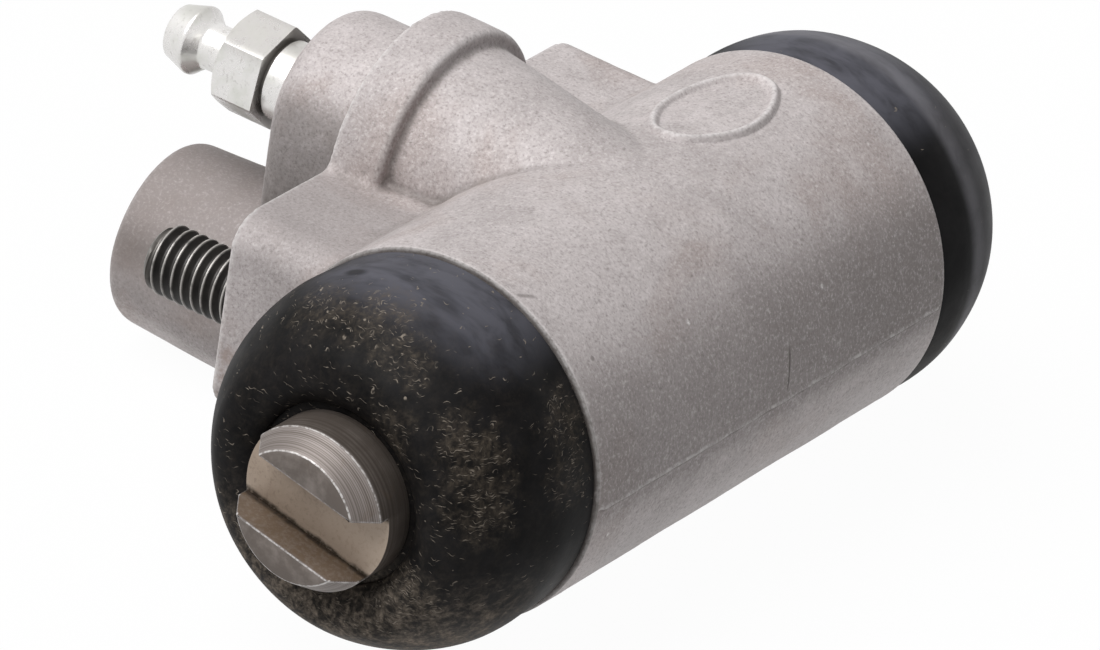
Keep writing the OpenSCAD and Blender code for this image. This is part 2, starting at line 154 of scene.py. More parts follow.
def outline(bm: BMesh, section: Sequence[Point2], centre: Vector, axis: Axis, closed: bool,
            turn: float = 0.0) -> list:
    """Draws a section beside an axis.

    Args:
        bm: Mesh to draw in.
        section: Points as (radius, place along the axis).
        centre: A point on the axis.
        axis: The axis.
        closed: Whether the last point joins the first.
        turn: Angle of the section about the axis, in radians.

    Returns:
        The section's points and edges.
    """
    along = axis.vector
    way = Matrix.Rotation(turn, 3, along) @ Vector((0.0, 0.0, 1.0))
    origin = centre - along * centre.dot(along)
    verts = [bm.verts.new(origin + way * r + along * s) for r, s in section]
    pairs = list(zip(verts, verts[1:])) + ([(verts[-1], verts[0])] if closed else [])
    return verts + [bm.edges.new(pair) for pair in pairs]


def sweep(bm: BMesh, geom: list, centre: Vector, axis: Axis, turns: float, per_turn: int,
          pitch: float = 0.0, merge: bool = False) -> list:
    """Spins points and edges round an axis.

    Args:
        bm: The mesh.
        geom: Points and edges to spin.
        centre: A point on the axis.
        axis: The axis.
        turns: Number of turns.
        per_turn: Segments in one turn.
        pitch: Advance along the axis for one turn.
        merge: Whether the last segment joins the first.

    Returns:
        The points and edges at the end.
    """
    along = axis.vector
    made = bmesh.ops.spin(bm, geom=geom, cent=centre, axis=along, dvec=along * (pitch / per_turn),
                          angle=2.0 * math.pi * turns, steps=round(turns * per_turn),
                          use_merge=merge, use_duplicate=False)
    return made["geom_last"]


def cap(bm: BMesh, *rings: Sequence) -> None:
    """Closes open rings of edges with one face each.

    Args:
        bm: The mesh.
        rings: Geometry that holds the edges of one ring each.
    """
    for ring in rings:
        edges = [e for e in ring if isinstance(e, bmesh.types.BMEdge)]
        bmesh.ops.contextual_create(bm, geom=edges)


def lathe(section: Sequence[Point2], centre: Vector, axis: Axis, steps: int,
          closed: bool = False, turn: float = 0.0) -> BMesh:
    """Spins a section into a turned solid.

    Args:
        section: Points as (radius, place along the axis).
        centre: A point on the axis.
        axis: Axis to spin about.
        steps: Number of segments round the axis.
        closed: Whether the section's last point joins its first.
        turn: Angle of the first section about the axis, in radians.

    Returns:
        A bmesh with its doubles merged.
    """
    bm = bmesh.new()
    geom = outline(bm, section, centre, axis, closed, turn)
    sweep(bm, geom, centre, axis, 1.0, steps, merge=True)
    bmesh.ops.remove_doubles(bm, verts=bm.verts[:], dist=MERGE)
    return bm


def helix(section: Sequence[Point2], centre: Vector, axis: Axis, pitch: float, turns: float,
          per_turn: int, closed: bool) -> BMesh:
    """Spins a section along a screw line.

    Args:
        section: Points as (radius, place along the axis).
        centre: A point on the axis.
        axis: Axis of the screw line.
        pitch: Advance for one turn.
        turns: Number of turns.
        per_turn: Segments in one turn.
        closed: Whether the section is a closed outline, whose two ends are then capped.

    Returns:
        A bmesh that is not merged yet.
    """
    bm = bmesh.new()
    first = outline(bm, section, centre, axis, closed)
    last = sweep(bm, first, centre, axis, turns, per_turn, pitch)
    if closed:
        cap(bm, first, last)
    return bm


def cut_through(bm: BMesh, at: Vector, normal: Vector, dist: float, drop: bool = False) -> None:
    """Cuts a whole mesh along a plane.

    Args:
        bm: The mesh.
        at: A point on the plane.
        normal: Direction that the plane faces.
        dist: Reach within which a point counts as on the plane.
        drop: Whether what lies past the plane goes.
    """
    bmesh.ops.bisect_plane(bm, geom=bm.verts[:] + bm.edges[:] + bm.faces[:], dist=dist,
                           plane_co=at, plane_no=normal, clear_outer=drop)


def relax(bm: BMesh, verts: Sequence[BMVert], passes: int) -> None:
    """Evens out points of a mesh.

    Args:
        bm: The mesh.
        verts: The points.
        passes: How many times each point moves half way to its neighbours' middle.
    """
    for _ in range(passes):
        bmesh.ops.smooth_vert(bm, verts=verts, factor=0.5, use_axis_x=True, use_axis_y=True,
                              use_axis_z=True)
    bm.normal_update()


def bore_way(p: Vector) -> Vector:
    """Way from the bore axis straight out to a point."""
    return Vector((0.0, p.y - BORE_AXIS_Y, p.z))


def bore_far(p: Vector) -> float:
    """Distance of a point from the bore axis."""
    return math.hypot(p.y - BORE_AXIS_Y, p.z)


def read_rows(items: bpy.types.bpy_prop_collection, name: str, width: int,
              kind: type) -> np.ndarray:
    """Reads one property of a mesh's points, edges or normals.

    Args:
        items: What to read from.
        name: The property.
        width: How many numbers it has.
        kind: Type of those numbers.

    Returns:
        One row for each item.
    """
    values = np.empty(len(items) * width, kind)
    items.foreach_get(name, values)
    return values.reshape(-1, width)


def bake(obj: Piece) -> None:
    """Applies an object's modifiers to its mesh.

    Args:
        obj: Object whose modifiers become part of its mesh.
    """
    graph = bpy.context.evaluated_depsgraph_get()
    old = obj.data
    mesh = bpy.data.meshes.new_from_object(obj.evaluated_get(graph))
    obj.modifiers.clear()
    obj.data = mesh
    bpy.data.meshes.remove(old)


def place(bm: BMesh, name: str, material: Finish, sharp: float = 35.0) -> Piece:
    """Turns a bmesh into an object at the origin.

    Args:
        bm: Mesh in the part's frame; it is freed.
        name: Name of the piece.
        material: Its finish.
        sharp: Angle in degrees above which an edge stays crisp.

    Returns:
        The new object, linked to the scene.
    """
    bmesh.ops.recalc_face_normals(bm, faces=bm.faces[:])
    mesh = bpy.data.meshes.new(name)
    bm.to_mesh(mesh)
    bm.free()
    mesh.materials.append(material)
    mesh.shade_smooth()
    mesh.set_sharp_from_angle(angle=math.radians(sharp))
    obj = bpy.data.objects.new(name, mesh)
    bpy.context.scene.collection.objects.link(obj)
    return obj


def triangles(obj: Piece) -> int:
    """Number of triangles in a piece."""
    return sum(len(p.vertices) - 2 for p in obj.data.polygons)


def report(obj: Piece) -> Piece:
    """Logs a finished piece and hands it back."""
    LOG.info("%s: %d triangles", obj.name, triangles(obj))
    return obj


# Finishes


class Graph:
    """A node tree of a material or the world, with short calls for the nodes used here."""

    def __init__(self, name: str, world: bool = False) -> None:
        """Starts an empty node tree.

        Args:
            name: Name of the new material or world.
            world: Whether a world is made and not a material.
        """
        store = bpy.data.worlds if world else bpy.data.materials
        self.owner = store.new(name)
        self.owner.use_nodes = True
        self.tree = self.owner.node_tree
        self.tree.nodes.clear()

    def node(self, kind: str, inputs: dict[Union[str, int], object],
             **settings: object) -> bpy.types.Node:
        """Adds one node.

        Args:
            kind: Node type without its ShaderNode prefix.
            inputs: Values or sockets for its inputs, by name or index.
            settings: Properties of the node itself.

        Returns:
            The node.
        """
        made = self.tree.nodes.new("ShaderNode" + kind)
        for key, value in settings.items():
            setattr(made, key, value)
        for key, value in inputs.items():
            self.feed(made.inputs[key], value)
        return made

    def feed(self, socket: Socket, value: object) -> None:
        """Links a socket to another one, or sets its value.

        Args:
            socket: Input to feed.
            value: A socket, a number or a colour.
        """
        if isinstance(value, bpy.types.NodeSocket):
            self.tree.links.new(value, socket)
        elif isinstance(value, tuple) and len(value) == 3 and socket.type == "RGBA":
            socket.default_value = (*value, 1.0)
        else:
            socket.default_value = value

    def coords(self) -> Socket:
        """Object coordinates, in metres."""
        return self.node("TexCoord", {}).outputs["Object"]

    def moved(self, vector: Socket, move: Colour = (0.0, 0.0, 0.0),
              turn: Colour = (0.0, 0.0, 0.0), stretch: Colour = (1.0, 1.0, 1.0)) -> Socket:
        """Coordinates that are moved, turned and stretched by a Mapping node.

        Args:
            vector: Coordinates to start from.
            move: Shift after the turn and stretch.
            turn: Turn about X, Y and Z in radians.
            stretch: Scale along each axis.

        Returns:
            The new coordinates.
        """
        made = self.node("Mapping", {"Vector": vector, "Location": move, "Rotation": turn,
                                     "Scale": stretch}, vector_type="POINT")
        return made.outputs[0]

    def split(self, vector: Socket) -> tuple[Socket, Socket, Socket]:
        """X, Y and Z of a vector."""
        made = self.node("SeparateXYZ", {0: vector})
        return made.outputs[0], made.outputs[1], made.outputs[2]

    def round_bore(self, at: Socket) -> tuple[Socket, Socket, Socket, Socket]:
        """X, Y and Z from the bore axis, and the distance from that axis."""
        x, y, z = self.split(self.moved(at, move=(0.0, -BORE_AXIS_Y, 0.0)))
        return x, y, z, self.reach(y, z)

    def math(self, operation: str, *values: Value) -> Socket:
        """Result of a Math node."""
        return self.node("Math", dict(enumerate(values)), operation=operation).outputs[0]

    def times(self, *values: Value) -> Socket:
        """Product of values."""
        return functools.reduce(functools.partial(self.math, "MULTIPLY"), values)

    def plus(self, *values: Value) -> Socket:
        """Sum of values."""
        return functools.reduce(functools.partial(self.math, "ADD"), values)

    def most(self, *values: Value) -> Socket:
        """Largest of values."""
        return functools.reduce(functools.partial(self.math, "MAXIMUM"), values)

    def less(self, a: Value, b: Value) -> Socket:
        """Difference of two values."""
        return self.math("SUBTRACT", a, b)

    def size(self, value: Value) -> Socket:
        """A value without its sign."""
        return self.math("ABSOLUTE", value)

    def reach(self, a: Value, b: Value) -> Socket:
        """Distance over two legs at right angles."""
        return self.math("SQRT", self.plus(self.times(a, a), self.times(b, b)))

    def far(self, at: Socket, point: Colour) -> Socket:
        """Distance from a point."""
        return self.node("VectorMath", {0: at, 1: point}, operation="DISTANCE").outputs[1]

    def band(self, value: Value, low: float, high: float, start: float = 0.0,
             end: float = 1.0) -> Socket:
        """Smooth step of a value from one level to another.

        Args:
            value: What is looked at.
            low: Where the step starts.
            high: Where it ends.
            start: Result up to low.
            end: Result from high on.

        Returns:
            The stepped value.
        """
        made = self.node("MapRange", {"Value": value, "From Min": low, "From Max": high,
                                      "To Min": start, "To Max": end},
                         interpolation_type="SMOOTHSTEP", clamp=True)
        return made.outputs[0]

    def span(self, value: Value, low: float, high: float, *levels: float) -> Socket:
        """A band whose step starts and ends at places in millimetres."""
        return self.band(value, low * MM, high * MM, *levels)

    def noise(self, vector: Socket, scale: float, detail: float = 3.0, rough: float = 0.55,
              bend: float = 0.0) -> Socket:
        """Value of a noise texture."""
        return self.node("TexNoise", {"Vector": vector, "Scale": scale, "Detail": detail,
                                      "Roughness": rough, "Distortion": bend}).outputs[0]

    def line_noise(self, value: Socket, scale: float, detail: float = 2.0) -> Socket:
        """Noise along one value, such as a radius."""
        return self.node("TexNoise", {"W": value, "Scale": scale, "Detail": detail},
                         noise_dimensions="1D").outputs[0]

    def cells(self, vector: Socket, scale: float) -> tuple[Socket, Socket]:
        """Cells that are scattered through space.

        Args:
            vector: Coordinates to look at.
            scale: Cells along a unit of length.

        Returns:
            Distance to the nearest cell's centre, and a chance value for each cell.
        """
        made = self.node("TexVoronoi", {"Vector": vector, "Scale": scale})
        chance = self.node("SeparateColor", {0: made.outputs["Color"]})
        return made.outputs["Distance"], chance.outputs[0]

    def mix(self, share: Value, a: Tone, b: Tone) -> Socket:
        """Mix of two colours."""
        return self.node("Mix", {0: share, 6: a, 7: b}, data_type="RGBA").outputs[2]

    def coats(self, colour: Tone, *coats: tuple[Value, Tone]) -> Socket:
        """Lays coats over a colour.

        Args:
            colour: Colour underneath.
            coats: Share and colour of each coat, the lowest first.

        Returns:
            The colour that shows.
        """
        for share, tone in coats:
            colour = self.mix(share, colour, tone)
        return colour

    def layer(self, name: str) -> Socket:
        """A value that the mesh carries at each of its points."""
        return self.node("Attribute", {}, attribute_name=name).outputs["Fac"]

    def bump(self, height: Socket, distance: float, strength: float) -> Socket:
        """Normal bent by a height."""
        return self.node("Bump", {"Height": height, "Distance": distance,
                                  "Strength": strength}).outputs[0]

    def shade(self, **inputs: object) -> Finish:
        """Closes the tree with a Principled shader.

        Args:
            inputs: Its inputs, with underscores for spaces.

        Returns:
            The finished material.
        """
        shader = self.node("BsdfPrincipled", {k.replace("_", " "): v for k, v in inputs.items()})
        self.node("OutputMaterial", {"Surface": shader.outputs[0]})
        return self.owner


@dataclass(frozen=True)
class CastAluminium:
    """Matt blasted casting with a fine drawn grain, brown stains and rubbed edges."""

    base: Colour = (0.420, 0.382, 0.378)
    pale: Colour = (0.468, 0.428, 0.425)
    light: Colour = (0.66, 0.620, 0.617)
    dark: Colour = (0.190, 0.169, 0.163)
    stain: Colour = (0.245, 0.178, 0.150)
    rubbed: Colour = (0.80, 0.785, 0.78)
    grime: Colour = (0.075, 0.064, 0.056)
    machined: Colour = (0.52, 0.51, 0.50)

    def parting(self, g: Graph, at: Socket, chips: Socket) -> tuple[Socket, Socket]:
        """Where the mould's parting shows on the front of the barrel.

        Args:
            g: The material's graph.
            at: Object coordinates.
            chips: Noise that breaks the lines up.

        Returns:
            Shares of the painted highlight on the ridge above the parting and of the painted shadow
            under it.
        """
        x, y, z = g.split(at)
        sway = g.noise(g.moved(at, stretch=(1.0, 0.0, 0.0)), 260.0, 2.0)
        level = g.less(z, g.times(g.less(sway, 0.5), 0.35 * MM))
        front = g.times(g.span(y, -29.0, -31.0), g.span(g.size(x), 24.6, 24.3))
        # Painted highlight where the ridge above the parting catches the light.
        above = g.times(g.span(level, -0.05, 0.06), g.span(level, 0.36, 0.12),
                        g.band(chips, 0.46, 0.64, 0.04, 0.36), front)
        # Painted shadow under the ridge.
        under = g.times(g.span(level, -0.42, -0.12), g.span(level, 0.03, -0.05),
                        g.band(chips, 0.62, 0.42, 0.30, 0.80), front)
        return above, under

    def scratch(self, g: Graph, at: Socket) -> Socket:
        """One dark scratch on the front of the barrel, above the parting.

        Args:
            g: The material's graph.
            at: Object coordinates.

        Returns:
            1 in the scratch and 0 beside it.
        """
        x, y, z = g.split(at)
        lean = g.less(x, g.plus(g.times(z, 0.10), 1.7 * MM))
        return g.times(g.span(g.size(lean), 0.15, 0.05), g.span(z, 0.6, 1.3),
                       g.span(z, 5.0, 3.6), g.span(y, -29.0, -31.0))

    def nick(self, g: Graph, at: Socket) -> Socket:
        """A short dark nick beside the near boot, and a dark speck below it.

        Args:
            g: The material's graph.
            at: Object coordinates.

        Returns:
            1 in the nick and on the speck, and 0 beside them.
        """
        flat = g.moved(at, move=(23.4 * MM, 27.9 * MM, 0.0), stretch=(1.0, 1.0, 0.0))
        along, across, _ = g.split(flat)
        off = g.size(g.plus(across, g.times(along, 0.55)))
        line = g.times(g.span(off, 0.32, 0.06), g.span(g.size(along), 1.0, 0.5),
                       g.span(g.split(at)[2], 13.0, 14.0))
        spot = g.far(at, (-21.6 * MM, -33.7 * MM, 10.9 * MM))
        return g.most(line, g.span(spot, 0.32, 0.12))

    def material(self) -> Finish:
        """Builds the finish on Object coordinates and the casting's own layers.

        Returns:
            The finished material.
        """
        g = Graph("cast_aluminium")
        at = g.coords()
        x, y, z = g.split(at)
        aside = g.size(x)
        drawn = g.moved(at, stretch=(1.0, 0.82, 0.82))
        grain = g.noise(drawn, 5200.0, 2.0, 0.6)
        pits = g.noise(drawn, 2900.0, 3.0, 0.62)
        mottle = g.noise(at, 420.0, 4.0, 0.65)
        blotch = g.noise(at, 95.0, 4.0, 0.6, 0.5)
        rust = g.noise(g.moved(at, move=(0.3, 0.1, 0.7)), 70.0, 5.0, 0.6, 0.6)
        far, chance = g.cells(g.moved(at, stretch=(1.0, 0.7, 0.7)), 640.0)
        tool = g.layer("machined")
        # Zones of stain and specks, of painted shade and of painted light from below
        spigot = g.times(g.span(y, 2.0, 8.0), g.span(z, -14.0, -8.0), g.span(z, 1.0, -1.5))
        calm = g.band(spigot, 0.0, 1.0, 1.0, 0.35)
        rusty = g.plus(g.band(rust, 0.50, 0.70, 0.0, 0.36),
                       g.times(spigot, g.span(z, -12.0, -7.0, 0.10, 1.0),
                               g.band(rust, 0.30, 0.62, 0.28, 0.60)))
        # Painted shade: the barrel's front, which faces away from the light, is darkened.
        front = g.times(g.span(y, -29.0, -35.0), g.span(x, -10.0, 22.0, 0.54, 0.82),
                        g.span(z, -3.0, 0.0), g.span(z, 13.0, 7.0))
        # Painted light: the lower front of the barrel is lightened, as if lit from below.
        lower = g.times(g.span(z, -1.5, -9.0), g.span(y, -25.0, -29.0, 0.0, 0.50))
        fleck = g.times(g.band(far, 0.20, 0.05), g.band(chance, 0.945, 0.965),
                        g.band(grain, 0.35, 0.65, 0.1, 0.7))
        glint = g.times(g.band(far, 0.16, 0.05), g.band(chance, 0.030, 0.020),
                        g.band(grain, 0.35, 0.60, 0.2, 0.8))
        rim = g.times(g.span(x, -21.5, -23.0), g.span(y, -7.0, -2.0), g.span(y, 0.6, 0.2),
                      g.span(z, 2.0, -3.0), g.band(mottle, 0.42, 0.60, 0.0, 0.7))
        foot = g.times(g.span(y, -14.0, -10.0), g.span(y, 0.6, 0.2), g.span(x, -10.5, -13.0),
                       g.span(aside, 24.0, 22.0, 0.22, 0.50), g.band(mottle, 0.3, 0.6, 0.8, 1.0))
        # Painted shade with some soiling: the boss's side behind the mounting face is darkened.
        boss = g.times(g.span(y, 0.2, 1.5), g.span(aside, 6.5, 8.0),
                       g.span(z, 9.5, -2.0, 0.55, 0.95), g.span(z, -5.5, -3.0, 0.48, 1.0),
                       g.band(mottle, 0.3, 0.6, 0.7, 1.0))
        # Painted shade in corners, in the gap at the barrel's ends and under the parting; real
        # scratches, nicks and rubbed edges; a painted highlight along the parting
        # A painted highlight and a painted shadow along the parting.
        above, under = self.parting(g, at, g.noise(at, 900.0, 3.0, 0.65))
        # Painted shade in the narrow gap on the barrel's end faces, beside the boots.
        ends = g.times(g.span(aside, 24.45, 24.58), g.span(y, -6.0, -6.6))
        # Painted shade in the hollow corners of the skin.
        cavity = g.times(g.layer("cavity"), g.band(mottle, 0.2, 0.6, 0.55, 1.0), 0.72)
        # Painted shade in corners, under the parting and at the barrel's ends, with the real
        # scratch and nick.
        shade_and_marks = g.most(cavity, g.times(under, 0.75), g.times(self.scratch(g, at), 0.8),
                      g.times(self.nick(g, at), 0.5), g.times(ends, 0.8))
        wear = g.times(g.layer("wear"), g.band(pits, 0.30, 0.60, 0.35, 1.0),
                       g.span(aside, 23.6, 24.4, 0.65, 0.30))
        colour = g.coats(
            g.mix(g.band(mottle, 0.34, 0.66), self.base, self.pale),
            (g.band(blotch, 0.46, 0.70, 0.0, 0.27), self.dark),
            (rusty, self.stain),
            # Painted shade on the barrel's front.
            (front, self.dark),
            # Painted light from below on the barrel's lower front.
            (lower, self.light),
            # Painted shade: the upper half of the inlet spigot is darkened.
            (g.times(spigot, g.span(z, -10.5, -6.5, 0.0, 0.74)), self.dark),
            (g.times(calm, g.band(pits, 0.52, 0.72, 0.0, 0.32)), self.light),
            (g.times(calm, g.band(pits, 0.48, 0.28, 0.0, 0.44)), self.dark),
            (g.times(calm, g.band(grain, 0.54, 0.76, 0.0, 0.40)), self.light),
            (g.times(calm, g.band(grain, 0.46, 0.26, 0.0, 0.55)), self.dark),
            (fleck, self.grime),
            (glint, self.rubbed),
            (rim, self.stain),
            (foot, self.dark),
            # Painted shade and soiling on the boss's side.
            (boss, self.grime),
            (g.times(tool, 0.75), self.machined),
            # Painted shade in corners, in gaps and under the parting, and the real scratch and
            # nick.
            (shade_and_marks, self.grime),
            # Rubbed edges, and the painted highlight along the parting.
            (g.most(wear, above), self.rubbed),
        )
        height = g.times(g.plus(g.times(grain, 0.6), g.times(pits, 0.7)),
                         g.band(tool, 0.0, 1.0, 1.0, 0.25))
        rough = g.band(grain, 0.3, 0.7, 0.68, 0.56)
        return g.shade(Base_Color=colour, Metallic=0.10, Roughness=rough, Specular_IOR_Level=0.25,
                       Normal=g.bump(height, 0.07 * MM, 0.7))


@dataclass(frozen=True)
class TurnedSteel:
    """Turned piston metal with lathe rings, bright edges that are rubbed metal with a painted
    highlight, and brown oil in the slot.

    The zones follow the stem's own shape: its end, its cone and the slot across it.
    """

    base: Colour = (0.112, 0.094, 0.083)
    pale: Colour = (0.192, 0.166, 0.151)
    cone: Colour = (0.225, 0.198, 0.186)
    side: Colour = (0.060, 0.049, 0.041)
    floor: Colour = (0.40, 0.325, 0.262)
    wall: Colour = (0.098, 0.064, 0.038)
    oil: Colour = (0.016, 0.010, 0.006)
    bright: Colour = (0.62, 0.60, 0.59)
    stem: Stem = Stem()

    def near(self, g: Graph, value: Socket, level: float, reach: float) -> Socket:
        """1 where a value is at a level, falling to 0 within reach on both sides."""
        return g.band(g.size(g.less(value, level)), reach, reach * 0.4)

    def material(self) -> Finish:
        """Builds the finish, with rings round the bore axis.

        Returns:
            The finished material.
        """
        g = Graph("turned_steel")
        at = g.coords()
        stem = self.stem
        half, depth, cone_end = stem.slot_half, stem.slot_depth, stem.cone
        x, y, z, radius = g.round_bore(at)
        end = g.plus(g.times(g.math("LESS_THAN", x, 0.0), Side.LEFT.out), stem.end)
        inset = g.less(end, g.size(x))
        high = g.less(g.times(z, math.cos(stem.slot_turn)), g.times(y, math.sin(stem.slot_turn)))
        wide = g.size(high)
        ring = g.line_noise(g.plus(radius, g.times(x, 0.6)), 6500.0)
        cloud = g.noise(at, 420.0, 4.0, 0.6)
        film = g.noise(g.moved(at, move=(0.2, 0.5, 0.1)), 300.0, 4.0, 0.65, 0.6)
        fine = g.noise(at, 2600.0, 3.0, 0.65)
        # Slot with brown floor, dark walls and oil in its corners
        oily = g.times(g.span(y, -5.0, 6.0, 0.10, 0.42), g.band(film, 0.25, 0.65, 0.5, 1.0))
        brown = g.plus(oily, g.band(fine, 0.50, 0.70, 0.0, 0.18))
        on_wall = g.band(wide, half - 0.09 * MM, half - 0.03 * MM)
        grit = g.mix(g.band(fine, 0.42, 0.68, 0.0, 0.40), self.wall, self.pale)
        corner = g.reach(g.less(half, wide), g.less(depth, inset))
        ragged = g.plus(corner, g.times(g.less(film, 0.5), 1.1 * MM))
        crease = g.times(g.span(ragged, 0.55, 0.12), g.band(fine, 0.30, 0.55, 0.55, 1.0), 0.92)
        slot_tone = g.coats(g.mix(brown, self.floor, self.wall),
                            (g.times(on_wall, 0.92), grit), (crease, self.oil))
        in_slot = g.times(g.band(wide, half + 0.03 * MM, half - 0.01 * MM),
                          g.band(inset, depth + 0.06 * MM, depth + 0.02 * MM))
        # Cone, side, and bright edges of rubbed metal with a painted highlight, strongest on the
        # slot's lower edge
        on_cone = g.times(g.band(radius, stem.flat_r, stem.flat_r + 0.15 * MM),
                          g.band(inset, cone_end + 0.05 * MM, cone_end - 0.15 * MM))
        on_side = g.times(g.band(inset, cone_end, cone_end + 0.25 * MM),
                          g.band(ring, 0.3, 0.7, 0.95, 0.55))
        lip = g.times(self.near(g, radius, stem.flat_r, 0.09 * MM), g.span(inset, 0.30, 0.20))
        shoulder = g.times(self.near(g, inset, cone_end, 0.13 * MM),
                           g.band(radius, stem.radius - 0.20 * MM, stem.radius - 0.10 * MM), 0.75)
        rim = g.times(self.near(g, wide, half + 0.11 * MM, 0.09 * MM),
                      g.band(inset, depth, depth - 0.3 * MM), g.span(high, 1.0, -1.0, 0.45, 1.0))
        colour = g.coats(
            g.mix(g.band(cloud, 0.40, 0.70), self.base, self.pale),
            (on_cone, g.mix(g.band(ring, 0.30, 0.72), self.base, self.cone)),
            (on_side, self.side),
            (in_slot, slot_tone),
            (g.times(g.band(film, 0.58, 0.74, 0.0, 0.35), g.span(inset, 0.4, 2.0, 0.5, 1.0)),
             self.wall),
            # Rubbed metal with a painted highlight on the edges, stronger on the slot's lower edge.
            (g.times(g.most(lip, shoulder, rim), g.band(fine, 0.36, 0.64, 0.12, 0.80)),
             self.bright),
        )
        rough = g.band(ring, 0.2, 0.8, 0.56, 0.44)
        height = g.plus(g.times(ring, 0.5), g.times(fine, 0.35))
        return g.shade(Base_Color=colour, Metallic=0.30, Roughness=rough, Specular_IOR_Level=0.25,
                       Normal=g.bump(height, 0.03 * MM, 0.7))


